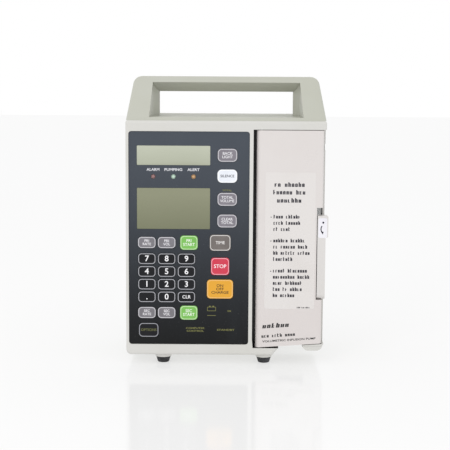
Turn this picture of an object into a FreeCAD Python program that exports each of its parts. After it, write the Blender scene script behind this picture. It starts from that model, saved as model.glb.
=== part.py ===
import FreeCAD, Part
import math
import os

from FreeCAD import Vector

# Volumetric infusion pump: a bench or pole-mounted box with a flat keypad on the left, a tall
# hinged door over the pumping bay on the right, an arched carrying handle on top, four rubber
# feet below and a screw clamp for an intravenous pole behind.
# Frame: +X to the operator's right, +Y from the front face towards the back, +Z up.
# The origin is on the table, in the middle of the overall footprint. Millimetres.

# ---- overall sizes ----
case_width = 196.0
case_depth = 128.0
case_top = 241.8          # height of the casing's roof above the table
handle_rise = 42.3        # handle above the roof
foot_height = 6.0
foot_boss = 3.7           # casing material between each rubber foot and the underside
lever_proud = 2.8         # how far the latch lever stands out of the casing's right side
clamp_reach = 43.0        # how far the pole clamp's jaw stands out behind the casing

overall_width = case_width + lever_proud
overall_depth = case_depth + clamp_reach
left = -overall_width / 2
right = left + case_width
front = -overall_depth / 2
back = front + case_depth
bottom = foot_height + foot_boss
top = case_top
handle_top = top + handle_rise

# ---- casing ----
wall = 2.8
step_from_left = 144.8    # where the underside steps up below the pumping bay
step_run = 7.2
raised_floor = 18.0       # underside of the pumping bay
edge_round = 2.5
back_round = 8.0
step_x = left + step_from_left

# ---- carrying handle ----
handle_front_set = 5.0    # leg's foot behind the front face
handle_back_set = 9.0
handle_lean = 5.6         # each leg leans in by this much
handle_corner = 8.5
handle_edge_round = 3.5
bar_flat = 12.0           # half depth of the bar's top
bar_round = 4.0
bar_height = 16.8
bar_bevel = 0.61          # rise of the bar's underside per unit of depth from its middle
grip_half = 67.0          # half width of the opening at its narrowest
grip_knee = 14.0          # depth from the middle where the opening's steep bevel ends
grip_knee_half = grip_half + 6.5
grip_mouth_half = grip_half + 8.8  # half width of the opening at the legs' feet
handle_base = 3.0         # plate between the legs' feet
handle_front = front + handle_front_set
handle_back = back - handle_back_set
handle_middle = (handle_front + handle_back) / 2

# ---- keypad panel ----
panel_margin = 2.9
panel_width = 118.2
panel_top_margin = 10.2
panel_bottom_margin = 10.8
panel_recess = 1.4
panel_floor = 2.6
overlay_thickness = 0.5
panel_left = left + panel_margin
panel_right = panel_left + panel_width
panel_top = top - panel_top_margin
panel_bottom = bottom + panel_bottom_margin
floor_front = front + panel_recess
floor_back = floor_front + panel_floor
overlay_front = floor_front - overlay_thickness

# ---- keys: each is a raised pad of the keypad with a plunger behind it ----
key_travel = 0.5
key_proud = 0.5           # above the overlay
key_thickness = 1.6
key_gap = 0.2
stem_radius = 2.0
stem_gap = 0.3
stem_length = 4.4
key_width = 17.6
key_height = 11.1
column_first = 17.8       # from the panel's left edge
column_pitch = 19.5
row_first = 125.4         # from the panel's top edge
row_pitch = 12.7

# ---- displays and lamps ----
display_left = 8.2        # from the panel's left edge
display_width = 71.5
upper_display_top = 14.1  # from the panel's top edge
upper_display_height = 18.9
lower_display_top = 55.5
lower_display_height = 40.3
display_gap = 0.15
display_body_margin = 3.0
lamp_radius = 2.2
lamp_first = 24.1
lamp_pitch = 19.7
lamp_drop = 44.3
lamp_gap = 0.15
board_gap = 4.0           # from the panel floor's back to the circuit board
board_thickness = 1.6

# ---- pumping bay and door ----
ridge_width = 3.6
door_gap = 3.2
door_inset = 2.6          # the door's free edge, in from the casing's right side
door_depth = 16.0
door_wall = 2.4
door_clearance = 0.6      # above and below the door
band_height = 8.2         # front strip above the door
door_slant = 4.5          # rise of the door's lower edge from hinge side to free side
door_bottom = 17.6
hinge_radius = 5.0
hinge_pin_radius = 1.5
hinge_pin_length = 14.0
running_gap = 0.05
bay_left = panel_right + ridge_width
door_left = bay_left + door_gap
door_right = right - door_inset
door_top = top - band_height - door_clearance
hinge_x = door_left + hinge_radius
hinge_y = front + hinge_radius
bay_back = hinge_y + math.hypot(hinge_radius, door_depth - hinge_radius) + 0.4
channel_x = (door_left + door_right) / 2

# ---- latch ----
notch_width = 6.0         # slot for the lever in the door's free edge
notch_bottom = 66.0
notch_top = 157.6
lever_side_gap = 0.8
lever_depth = 11.2
lever_length = 83.2
lever_pad_length = 21.6
pivot_set = 5.0           # pivot axis behind the front face
crank_radius = 5.0
crank_pin_radius = 1.5
crank_half = 2.25         # half width of the crank arm
stub_radius = 2.0
crank_thickness = 1.7
boss_length = 6.0
boss_radius = 4.5
slide_thickness = 2.6
slide_play = 0.45
hook_height = 5.0
hook_nose = 1.5
hook_reach = 8.0          # beyond the door's back face
notch_left = door_right - notch_width
pivot_y = front + pivot_set
pivot_z = notch_bottom + 0.4 + lever_depth / 2
crank_right = notch_left - boss_length - 0.3
slide_right = crank_right - crank_thickness - 0.5
slide_left = slide_right - slide_thickness
slide_front = front + door_wall + 1.0
slide_back = front + door_depth - door_wall - 0.4
upper_hook = door_top - 36.0
lower_hook = 52.0

# ---- tubing path and pumping mechanism ----
plate_front = front + door_depth + 2.5
plate_thickness = 8.5
plate_back = plate_front + plate_thickness
joint = plate_back        # the casing halves meet level with the tube plate's back
channel_width = 6.0
channel_depth = 5.5
channel_floor = plate_front + channel_depth
channel_top = 216.0       # height of the sideways exit's centre
finger_count = 12
finger_pitch = 4.8
finger_width = 14.0
finger_gap = 0.2
bank_middle = 138.0
bank_height = finger_count * finger_pitch
squeeze_gap = 1.2         # pressure plate to fully advanced finger
cam_radius = 9.0
cam_throw = 1.0
shaft_radius = 4.0
cam_gap = 0.3             # fully advanced cam to the fingers' tails
cam_y = front + 60.3
bearing_radius = shaft_radius + 5.5
bearing_width = 6.0
bearing_ring = 1.7
bearing_balls = 8
platen_face = plate_front + 0.5
finger_tip = platen_face + squeeze_gap
window_half = finger_width / 2 + 1.0
bank_low = bank_middle - bank_height / 2
bank_high = bank_middle + bank_height / 2
window_low = bank_low - 1.2
window_high = bank_high + 1.2
upper_bearing = bank_high + 5.2
lower_bearing = bank_low - 5.2 - bearing_width
frame_plate = 3.0
platen_travel = 1.5
platen_flange = 2.5
platen_width = 13.0
spring_radius = 3.6       # mean radius of the coils behind the pressure plate
spring_wire = 0.9
flange_front = front + door_depth - door_wall - platen_flange - 0.1
clamp_height = 4.0        # tube clamp blade
clamp_blade_width = 10.0
clamp_stroke = 4.2
tube_clamp_z = 48.0
lower_sensor = 92.0
upper_sensor = 186.0
sensor_radius = 4.0
air_sensor_low = 70.0
air_sensor_height = 12.0
air_sensor_width = 5.0

# ---- drive ----
cam_pulley_radius = 15.0
motor_pulley_radius = 6.0
pulley_width = 9.0
flange_thickness = 0.8
flange_height = 1.8
belt_gap = 0.3
belt_thickness = 1.4
motor_side = 42.0
motor_height = 40.0
motor_offset = 38.0       # motor axis behind the camshaft
motor_shaft_radius = 2.5
motor_y = cam_y + motor_offset
pulley_low = lower_bearing - 6.0 - pulley_width

# ---- pole clamp ----
pole_radius = 16.0
jaw_lip = 3.0             # jaw beyond the pole's far side
pole_x = left + 87.0
pole_y = back + clamp_reach - jaw_lip - pole_radius
pole_z = 135.0
jaw_height = 30.0
jaw_wall = 9.0
jaw_open = 60.0           # the jaw's arc stops this many degrees short of half way round
clamp_plate = 6.0
clamp_screw_radius = 5.0
clamp_travel = 21.0
pad_radius = 11.0
pad_thickness = 5.0
boss_width = 14.0
knob_radius = 18.4
knob_thickness = 16.0
knob_flutes = 6
pad_face = pole_x + pole_radius + 8.2
boss_left = pad_face + pad_thickness + 0.5
knob_left = boss_left + boss_width + clamp_travel + 1.0

# ---- fasteners and feet ----
screw_radius = 1.75
screw_head_radius = 3.2
screw_head_height = 2.4
screw_bore_radius = 1.9
tower_radius = 4.6
counterbore_radius = 3.5
foot_radius = 7.4
foot_stem_radius = 2.5
foot_stem_length = 4.6
foot_inset_front = 14.0
foot_inset_back = 16.0
foot_columns = (left + 36.4, left + 137.0)

# ---- parts kept inside ----
battery_size = (97.0, 43.0, 52.0)
board_back = back - 26.4  # rear face of the main circuit board
inlet_x = left + 38.0
inlet_z = 40.0
inlet_width = 27.0
inlet_height = 19.6


# ================= small geometry helpers =================
def block(x0, x1, y0, y1, z0, z1):
    """A box between two corners."""
    return Part.makeBox(x1 - x0, y1 - y0, z1 - z0, Vector(x0, y0, z0))


def rod(x, y, z, direction, radius, length):
    """A cylinder that starts at a point and runs along a direction."""
    return Part.makeCylinder(radius, length, Vector(x, y, z), Vector(*direction))


def rounded_wire(corners, lift):
    """A closed outline of straight sides whose corners (u, v, radius) are rounded by tangent arcs."""
    edges = []
    ends = []
    count = len(corners)
    for i, (u, v, r) in enumerate(corners):
        here = Vector(u, v, 0)
        before = Vector(*corners[i - 1][:2], 0)
        after = Vector(*corners[(i + 1) % count][:2], 0)
        a = (before - here).normalize()
        b = (after - here).normalize()
        if r <= 0:
            ends.append((here, None, here))
            continue
        half = math.acos(max(-1.0, min(1.0, a.dot(b)))) / 2
        reach = r / math.tan(half)
        middle = here + (a + b).normalize() * (r / math.sin(half) - r)
        ends.append((here + a * reach, middle, here + b * reach))
    for i, (start, middle, end) in enumerate(ends):
        if middle is not None:
            edges.append(Part.Arc(lift(start), lift(middle), lift(end)).toShape())
        nxt = ends[(i + 1) % count][0]
        if end.distanceToPoint(nxt) > 1e-6:
            edges.append(Part.LineSegment(lift(end), lift(nxt)).toShape())
    return Part.Wire(edges)


def slab(corners, y0, y1):
    """A front-view outline of (x, z, radius) corners, extruded back from y0 to y1."""
    wire = rounded_wire(corners, lambda p: Vector(p.x, y0, p.y))
    return Part.Face(wire).extrude(Vector(0, y1 - y0, 0))


def side_slab(corners, x0, x1):
    """A side-view outline of (y, z, radius) corners, extruded across from x0 to x1."""
    wire = rounded_wire(corners, lambda p: Vector(x0, p.x, p.y))
    return Part.Face(wire).extrude(Vector(x1 - x0, 0, 0))


def column(corners, z0, z1):
    """A plan-view outline of (x, y, radius) corners, extruded up from z0 to z1."""
    wire = rounded_wire(corners, lambda p: Vector(p.x, p.y, z0))
    return Part.Face(wire).extrude(Vector(0, 0, z1 - z0))


def rectangle(x0, x1, z0, z1, r):
    """The four rounded corners of a rectangle."""
    return [(x0, z0, r), (x1, z0, r), (x1, z1, r), (x0, z1, r)]


def join(shapes):
    """One solid from several that touch or overlap."""
    whole = shapes[0]
    for shape in shapes[1:]:
        whole = whole.fuse(shape)
    return whole.removeSplitter()


def cut(shape, tools):
    """A solid with several others taken out of it."""
    for tool in tools:
        shape = shape.cut(tool)
    return shape


def group(solids):
    """Separate solids that share one node."""
    return Part.makeCompound([s for solid in solids for s in solid.Solids])


def edges_at(shape, test):
    """The edges whose two ends and centre all satisfy a test on (x, y, z)."""
    found = []
    for e in shape.Edges:
        points = [v.Point for v in e.Vertexes] + [e.CenterOfMass]
        if all(test(p.x, p.y, p.z) for p in points):
            found.append(e)
    return found


# ================= keypad layout =================
def key_layout():
    """Every key as name: (centre x, centre z, width, height, corner radius)."""
    keys = {}

    def add(name, across, down, width, height, r):
        keys[name] = (panel_left + across, panel_top - down, width, height, r)

    rows = [["7", "8", "9"], ["4", "5", "6"], ["1", "2", "3"], ["point", "0", "clear"]]
    for r, names in enumerate(rows):
        for c, name in enumerate(names):
            add("key_" + name, column_first + c * column_pitch, row_first + r * row_pitch,
                key_width, key_height, 3.4)
    for which, down in (("primary", 109.3), ("secondary", 179.3)):
        add("key_rate_" + which, column_first, down, key_width, 11.4, 4.2)
        add("key_volume_" + which, column_first + column_pitch, down, key_width, 11.4, 4.2)
        add("key_start_" + which, column_first + 41.4, down, 17.2, 14.1, 3.2)
    add("key_options", column_first + 1.7, 196.8, 19.8, 14.4, 2.6)
    for name, down in (("backlight", 23.1), ("silence", 43.5), ("status", 66.2), ("reset_total", 87.6)):
        add("key_" + name, 96.5, down, 19.3, 13.0, 4.4)
    add("key_time", 89.9, 109.2, 20.6, 16.0, 3.2)
    add("key_stop", 89.9, 132.7, 18.0, 17.2, 3.0)
    add("key_on_off", 89.9, 155.4, 25.7, 18.9, 3.4)
    return keys


def display_openings(margin):
    """The two display windows, grown by a margin, as rounded corners."""
    x0 = panel_left + display_left - margin
    x1 = panel_left + display_left + display_width + margin
    found = []
    rows = ((upper_display_top, upper_display_height), (lower_display_top, lower_display_height))
    for down, height in rows:
        z1 = panel_top - down + margin
        z0 = panel_top - down - height - margin
        found.append(rectangle(x0, x1, z0, z1, 0.8))
    return found


def lamp_places():
    """Centres of the three status lamps."""
    return [(panel_left + lamp_first + i * lamp_pitch, panel_top - lamp_drop) for i in range(3)]


# ================= casing =================
def case_outline(y, inset):
    """The casing's front-view outline, with its stepped underside, moved in by an inset."""
    wire = rounded_wire([
        (left, bottom, 5.0), (step_x, bottom, 1.5), (step_x + step_run, raised_floor, 1.5),
        (right, raised_floor, 5.0), (right, top, 2.0), (left, top, 2.0),
    ], lambda p: Vector(p.x, y, p.y))
    face = Part.Face(wire)
    return face.makeOffset2D(-inset) if inset else face


def case_prism(y0, y1, inset):
    """The casing's outline extruded from y0 to y1."""
    return case_outline(y0, inset).extrude(Vector(0, y1 - y0, 0))


def door_underside(gap):
    """The lower edge of the door at its hinge side and free side, less a gap."""
    return door_bottom - gap, door_bottom + door_slant - gap


def screw_places():
    """Where the four long screws hold the casing halves together, as (x, z)."""
    return [
        (left + 8.0, top - 8.0), (left + 8.0, bottom + 8.0),
        (right - 8.0, top - 5.6), (step_x - 12.0, bottom + 3.9),
    ]


def handle_screw_places():
    """Where the handle is held from inside the roof, as (x, y)."""
    inset = 16.5
    return [(x, y) for x in (left + inset, right - inset) for y in (joint + 6.0, handle_middle + 29.0)]


def clamp_screw_places():
    """Where the pole clamp is held to the back wall, as (x, z)."""
    return [(pole_x + dx, pole_z + dz) for dx in (-24.0, 38.0) for dz in (-19.5, 19.5)]


def foot_places():
    """Centres of the four feet, as (x, y)."""
    return [(x, y) for x in foot_columns for y in (front + foot_inset_front, back - foot_inset_back)]


def foot_bosses(y0, y1):
    """Tapered bosses under the casing for the feet that lie between two depths."""
    bosses = []
    for x, y in foot_places():
        if y0 < y < y1:
            base = Vector(x, y, foot_height)
            bosses.append(Part.makeCone(foot_radius + 0.6, foot_radius + 2.4, foot_boss + 0.5, base))
    return bosses


def foot_sockets():
    """Blind holes in the bosses for the feet's stems."""
    length = foot_stem_length + 0.6
    return [rod(x, y, foot_height - 0.5, (0, 0, 1), foot_stem_radius, length) for x, y in foot_places()]


def make_front_case():
    """Front casing: keypad frame with its floor, the strip over the door, and the lip below it."""
    body = case_prism(front, joint, 0)
    body = body.makeFillet(edge_round, edges_at(body, lambda x, y, z: abs(y - front) < 0.01))
    low, high = door_underside(door_clearance)
    rise = (high - low) / (door_right - door_left)
    bay_ceiling = door_top + door_clearance
    lug_left = right - 21.0
    lug_outline = rectangle(lug_left, right - 1.4, raised_floor - 3.4, raised_floor + 9.0, 5.5)
    lug = slab(lug_outline, front + 1.0, joint)
    body = join([body, lug, *foot_bosses(front, joint)])
    cuts = [
        slab(rectangle(panel_left, panel_right, panel_bottom, panel_top, 3.0), front - 1.0, floor_front),
        block(left + wall, panel_right, floor_back, joint + 1.0, bottom + wall, top - wall),
        slab([(bay_left, low + 9.0, 0), (bay_left + 0.8, low, 0), (lug_left, low, 0),
              (lug_left, low + rise * (lug_left - door_left), 0), (door_right + 20.0, high + rise * 20.0, 0),
              (door_right + 20.0, bay_ceiling, 0), (bay_left, bay_ceiling, 0)], front - 1.0, bay_back),
        block(step_x + step_run, lug_left, front - 1.0, bay_back, 0, door_bottom + door_slant + 4.0),
        block(bay_left, right - wall, bay_back - 1.0, joint + 1.0, raised_floor + wall, bay_ceiling),
        block(channel_x - channel_width / 2, channel_x + channel_width / 2,
              bay_back - 1.0, channel_floor, 0, raised_floor + wall + 1.0),
        block(right - wall - 1.0, right + 1.0, bay_back - 1.0, channel_floor,
              channel_top - channel_width / 2, channel_top + channel_width / 2),
    ]
    body = cut(body, cuts)
    towers = []
    for x, z in screw_places()[:2]:
        towers.append(rod(x, floor_back - 0.5, z, (0, 1, 0), tower_radius, joint - floor_back + 0.5))
    body = join([body, *towers])
    openings = [slab(o, front, joint) for o in display_openings(display_gap)]
    for x, z in lamp_places():
        openings.append(rod(x, front, z, (0, 1, 0), lamp_radius + lamp_gap, floor_back + 1.0 - front))
    pocket_back = overlay_front - key_proud + key_thickness + key_travel + 0.2
    for x, z, w, h, r in key_layout().values():
        openings.append(slab(rectangle(x - w / 2 - key_gap, x + w / 2 + key_gap, z - h / 2 - key_gap,
                                       z + h / 2 + key_gap, r), front, pocket_back))
        openings.append(rod(x, front, z, (0, 1, 0), stem_radius + stem_gap, panel_recess + panel_floor + 1.0))
    for x, z in screw_places():
        openings.append(rod(x, joint - 12.5, z, (0, 1, 0), screw_radius, 13.0))
    openings += foot_sockets()
    for z in (top - band_height, door_underside(door_clearance)[0]):
        sense = 1 if z > bank_middle else -1
        openings.append(rod(hinge_x, hinge_y, z - 0.5 * sense, (0, 0, sense), hinge_pin_radius, 6.5))
    return cut(body, openings)


def make_rear_case():
    """Rear casing: a deep tray with screw towers, air slots, and cut-outs for inlet and clamp."""
    outer = case_prism(joint, back, 0)
    rim = edges_at(outer, lambda x, y, z: abs(y - back) < 0.01 and z > raised_floor + 8.0)
    outer = outer.makeFillet(back_round, rim)
    shell = outer.cut(case_prism(joint - 1.0, back - wall, wall))
    towers = []
    for x, z in screw_places():
        towers.append(rod(x, joint, z, (0, 1, 0), tower_radius, back - joint - 1.0))
    for x, z in clamp_screw_places():
        towers.append(rod(x, back - wall - 9.0, z, (0, 1, 0), tower_radius, 10.0))
    inside = case_prism(joint, back - 0.5, 0.5)
    for x, z in board_posts():
        towers.append(rod(x, board_back, z, (0, 1, 0), 3.0, back - wall - board_back + 1.0))
    shell = join([shell, *[t.common(inside) for t in towers], *foot_bosses(joint, back)])
    head_seat = joint + 16.0
    cuts = []
    for x, z in screw_places():
        cuts.append(rod(x, joint - 1.0, z, (0, 1, 0), screw_bore_radius, case_depth))
        cuts.append(rod(x, head_seat, z, (0, 1, 0), counterbore_radius, case_depth))
    for x, z in clamp_screw_places():
        cuts.append(rod(x, back - wall - 7.5, z, (0, 1, 0), screw_radius, 12.0))
    for x, y in handle_screw_places():
        cuts.append(rod(x, y, top - wall - 1.0, (0, 0, 1), screw_bore_radius, wall + 3.0))
    cuts += foot_sockets()
    cuts.append(slab(inlet_outline(0.0), back - wall - 2.0, back + 1.0))
    for i in range(7):
        z = top - 26.0 - 6.0 * i
        cuts.append(slab(rectangle(left + 24.0, left + 62.0, z, z + 2.4, 1.1), back - wall - 2.0, back + 1.0))
    return cut(shell, cuts)


def make_carry_handle():
    """Handle: two deep tapered legs that lean in to a ridged bar, over a thin plate that joins their feet."""
    centre = (left + right) / 2
    slope_view = side_slab([(handle_front, top, 0), (handle_back, top, 0),
                            (handle_middle + bar_flat, handle_top, bar_round),
                            (handle_middle - bar_flat, handle_top, bar_round)], left, right)
    front_view = slab([(left, top, 0), (right, top, 0), (right - handle_lean, handle_top, handle_corner),
                       (left + handle_lean, handle_top, handle_corner)], front, back)
    arch = slope_view.common(front_view)
    outer = edges_at(arch, lambda x, y, z: z > top + 0.01 and abs(y - handle_middle) > bar_flat * 0.4)
    arch = arch.makeFillet(handle_edge_round, [e for e in outer if e.Length > 5.0 and runs_along_leg(e)])
    reach = handle_middle - handle_front + 2.0
    right_side = [(grip_mouth_half, -reach, 0), (grip_knee_half, -grip_knee, 5.0), (grip_half, 0, 6.0),
                  (grip_knee_half, grip_knee, 5.0), (grip_mouth_half, reach, 0)]
    plan = column([(centre + x, handle_middle + y, r) for x, y, r in right_side]
                  + [(centre - x, handle_middle + y, r) for x, y, r in right_side[::-1]],
                  top - 1.0, handle_top + 60.0)
    low = handle_top - bar_height
    high = low + reach * bar_bevel
    floor = top + handle_base
    profile = side_slab([(handle_middle - reach, floor, 0), (handle_middle + reach, floor, 0),
                         (handle_middle + reach, high, 0), (handle_middle, low, 10.0),
                         (handle_middle - reach, high, 0)], left, right)
    handle = arch.cut(plan.common(profile))
    bores = [rod(x, y, top - 1.0, (0, 0, 1), screw_radius, 13.0) for x, y in handle_screw_places()]
    return cut(handle, bores)


def runs_along_leg(edge):
    """True for the long outer edges where a leg's side meets its sloping front or back."""
    a, b = edge.Vertexes[0].Point, edge.Vertexes[-1].Point
    reach = handle_lean + handle_corner
    outside = min(a.x, b.x) - left < reach or right - max(a.x, b.x) < reach
    return outside and abs(a.y - b.y) > 1.0


def make_rubber_feet():
    """Four tapered rubber feet with a stem that plugs into the underside."""
    feet = []
    for x, y in foot_places():
        cone = Part.makeCone(foot_radius - 1.8, foot_radius, foot_height, Vector(x, y, 0))
        cone = cone.makeFillet(0.9, edges_at(cone, lambda a, b, c: abs(c) < 0.01))
        stem = rod(x, y, foot_height - 0.5, (0, 0, 1), foot_stem_radius, foot_stem_length + 0.5)
        feet.append(join([cone, stem]))
    return group(feet)


def make_screw(x, y, z, direction, length):
    """One pan-head screw: its head starts at the point and its shank runs along the direction."""
    head = rod(x, y, z, direction, screw_head_radius, screw_head_height)
    ahead = Vector(x, y, z) + Vector(*direction) * screw_head_height
    shank = rod(ahead.x, ahead.y, ahead.z, direction, screw_radius, length)
    slot = block(-0.5, 0.5, -screw_head_radius, screw_head_radius, -0.1, 0.9)
    slot.Placement = FreeCAD.Placement(Vector(x, y, z), FreeCAD.Rotation(Vector(0, 0, 1), Vector(*direction)))
    return join([head, shank]).cut(slot)


def make_case_screws():
    """Screws that hold the casing halves, the handle and the pole clamp."""
    seat = joint + 16.0
    screws = [make_screw(x, seat + screw_head_height, z, (0, -1, 0), 28.0) for x, z in screw_places()]
    under = top - wall - screw_head_height
    screws += [make_screw(x, y, under, (0, 0, 1), 12.0) for x, y in handle_screw_places()]
    outside = back + clamp_plate + screw_head_height
    screws += [make_screw(x, outside, z, (0, -1, 0), clamp_plate + 9.5) for x, z in clamp_screw_places()]
    return group(screws)


# ================= keypad and displays =================
def make_keypad_overlay():
    """Thin printed sheet over the panel floor, cut out for keys, lamps and displays."""
    edge = 0.15
    sheet = slab(rectangle(panel_left + edge, panel_right - edge, panel_bottom + edge, panel_top - edge, 2.8),
                 overlay_front, floor_front)
    cuts = [slab(o, front, joint) for o in display_openings(display_gap)]
    for x, z in lamp_places():
        cuts.append(rod(x, front, z, (0, 1, 0), lamp_radius + lamp_gap, 5.0))
    for x, z, w, h, r in key_layout().values():
        cuts.append(slab(rectangle(x - w / 2 - key_gap, x + w / 2 + key_gap, z - h / 2 - key_gap,
                                   z + h / 2 + key_gap, r), front, joint))
    return cut(sheet, cuts)


def make_key(x, z, w, h, r):
    """A key pad with softened front edges and a plunger to its switch."""
    y0 = overlay_front - key_proud
    pad = slab(rectangle(x - w / 2, x + w / 2, z - h / 2, z + h / 2, r), y0, y0 + key_thickness)
    pad = pad.makeFillet(0.35, edges_at(pad, lambda a, b, c: abs(b - y0) < 0.01))
    stem = rod(x, y0 + key_thickness - 0.2, z, (0, 1, 0), stem_radius, stem_length + 0.2)
    return join([pad, stem])


def make_lcd_modules():
    """Two glass display modules: a window in the panel's cut-out and a wider body behind it."""
    modules = []
    for window, body in zip(display_openings(0.0), display_openings(display_body_margin)):
        glass = slab(window, overlay_front + 0.1, floor_back + 0.3)
        case = slab(body, floor_back, floor_back + board_gap)
        modules.append(join([glass, case]))
    return group(modules)


def make_status_leds():
    """Three lamps with domed lenses, standing on the circuit board."""
    lamps = []
    for x, z in lamp_places():
        tip = overlay_front - 0.3
        barrel = rod(x, tip + lamp_radius * 0.6, z, (0, 1, 0), lamp_radius,
                     floor_back + board_gap - tip - lamp_radius * 0.6)
        dome = Part.makeSphere(lamp_radius, Vector(x, tip + lamp_radius, z))
        dome = dome.common(block(x - 3, x + 3, tip - 1, tip + lamp_radius, z - 3, z + 3))
        lamps.append(join([barrel, dome]))
    return group(lamps)


def make_display_board():
    """Circuit board behind the panel, with a switch under every key."""
    y0 = floor_back + board_gap
    board = block(panel_left + 4.0, panel_right - 3.0, y0, y0 + board_thickness,
                  bottom + 22.0, panel_top - 4.0)
    stem_end = overlay_front - key_proud + key_thickness + stem_length
    switches = []
    for x, z, w, h, r in key_layout().values():
        switches.append(block(x - 3.0, x + 3.0, stem_end + key_travel + 0.1, y0 + 0.2, z - 3.0, z + 3.0))
    posts = []
    for x in (panel_left + 7.0, panel_right - 6.0):
        for z in (bottom + 25.0, panel_top - 7.0):
            posts.append(rod(x, floor_back, z, (0, 1, 0), 2.2, board_gap + 0.2))
    return join([board, *switches, *posts])


# ================= door =================
def door_prism(inset, y0, y1):
    """The door's front-view outline, with its slanted lower edge, moved in by an inset."""
    low, high = door_underside(-inset)
    return slab([(door_left + inset, low, 0), (door_right - inset, high, 0),
                 (door_right - inset, door_top - inset, 0), (door_left + inset, door_top - inset, 0)], y0, y1)


def make_door_cover():
    """Door: a shallow tray with hinge knuckles at its left corners and a slot for the lever."""
    plan = [(door_left, front, hinge_radius - 0.01), (door_right, front, 2.6),
            (door_right, front + door_depth, 0.6), (door_left, front + door_depth, 0.6)]
    outer = column(plan, door_bottom - 1.0, door_top).common(door_prism(0, front - 1, front + door_depth + 1))
    shell = outer.cut(door_prism(door_wall, front + door_wall, front + door_depth + 1.0))
    notch = block(notch_left, right + 10.0, front - 1.0, front + door_depth + 1.0, notch_bottom, notch_top)
    notch_frame = block(notch_left - door_wall, door_right - 0.3, front + door_wall - 0.5, front + door_depth,
                        notch_bottom - door_wall, notch_top + door_wall)
    knuckles = []
    for z0, z1 in ((door_bottom - 1.0, door_bottom + 14.0), (door_top - 14.0, door_top)):
        knuckles.append(rod(hinge_x, hinge_y, z0, (0, 0, 1), hinge_radius - 0.05, z1 - z0))
        knuckles.append(block(door_left + 1.0, hinge_x, hinge_y, front + 12.0, z0, z1))
    knuckles = [k.common(outer) for k in knuckles]
    boss = rod(notch_left - boss_length, pivot_y, pivot_z, (1, 0, 0), boss_radius, boss_length)
    boss = boss.common(block(0, right, front + 1.0, front + door_depth, 0, top))
    guides = []
    for z in (95.0, 180.0):
        for x0 in (slide_left - slide_play - 1.6, slide_right + slide_play):
            guides.append(block(x0, x0 + 1.6, front + door_wall - 0.5, front + 9.0, z, z + 12.0))
    posts = []
    for z in spring_heights():
        start = front + door_wall - 0.5
        length = flange_front - platen_travel - 0.6 - start
        posts.append(rod(channel_x, start, z, (0, 1, 0), spring_radius - 1.4, length))
    shell = join([shell, notch_frame, *knuckles, boss, *guides, *posts]).cut(notch)
    bores = [
        rod(hinge_x, hinge_y, door_bottom - 2.0, (0, 0, 1), hinge_pin_radius + running_gap, 11.0),
        rod(hinge_x, hinge_y, door_top + 1.0, (0, 0, -1), hinge_pin_radius + running_gap, 10.0),
        rod(notch_left - boss_length - 1.0, pivot_y, pivot_z, (1, 0, 0), stub_radius + running_gap,
            boss_length + 2.0),
    ]
    return cut(shell, bores)


def spring_heights():
    """Heights of the two springs behind the pressure plate."""
    return (bank_middle - 18.0, bank_middle + 18.0)


def make_door_liner():
    """Flat inner lining that closes the door's back, open for the pressure plate and hooks."""
    y0 = front + door_depth - door_wall
    y1 = front + door_depth
    play = 0.15
    plate = door_prism(door_wall + play, y0, y1)
    grip = platen_width / 2 + 0.4
    cuts = [
        block(notch_left - door_wall - play, right, y0 - 1, y1 + 1, notch_bottom - door_wall - play,
              notch_top + door_wall + play),
        slab(rectangle(channel_x - grip, channel_x + grip, window_low - 0.6, window_high + 0.6, 1.5),
             y0 - 1, y1 + 1),
    ]
    for z in (lower_hook, upper_hook):
        cuts.append(block(slide_left - 0.8, slide_right + 0.8, y0 - 1, y1 + 1, z - hook_nose - 0.8,
                          z + hook_height + 6.0))
    return cut(plate, cuts)


def make_pressure_plate():
    """Spring-loaded plate that backs the tubing against the fingers."""
    half = platen_width / 2
    nose = slab(rectangle(channel_x - half, channel_x + half, window_low + 0.3, window_high - 0.3, 1.2),
                flange_front + 0.5, platen_face)
    nose = nose.makeFillet(1.0, edges_at(nose, lambda x, y, z: abs(y - platen_face) < 0.01))
    edge = half + 3.0
    flange = slab(rectangle(channel_x - edge, channel_x + edge, window_low - 3.5, window_high + 3.5, 2.0),
                  flange_front, flange_front + platen_flange)
    return join([flange, nose])


def make_pressure_springs():
    """Envelopes of the two coil springs between the door and the pressure plate, as plain sleeves."""
    y0 = front + door_wall + 0.02
    length = flange_front - 0.02 - y0
    springs = []
    for z in spring_heights():
        sleeve = rod(channel_x, y0, z, (0, 1, 0), spring_radius + spring_wire / 2, length)
        bore = rod(channel_x, y0 - 1.0, z, (0, 1, 0), spring_radius - spring_wire / 2, length + 2.0)
        springs.append(sleeve.cut(bore))
    return group(springs)


def make_hinge_pins():
    """Two steel pins, pressed into the front casing, that the door turns on."""
    lower = door_underside(door_clearance)[0] - 6.0
    upper = top - band_height + 6.0
    return group([
        rod(hinge_x, hinge_y, lower, (0, 0, 1), hinge_pin_radius, hinge_pin_length),
        rod(hinge_x, hinge_y, upper, (0, 0, -1), hinge_pin_radius, hinge_pin_length),
    ])


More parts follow.
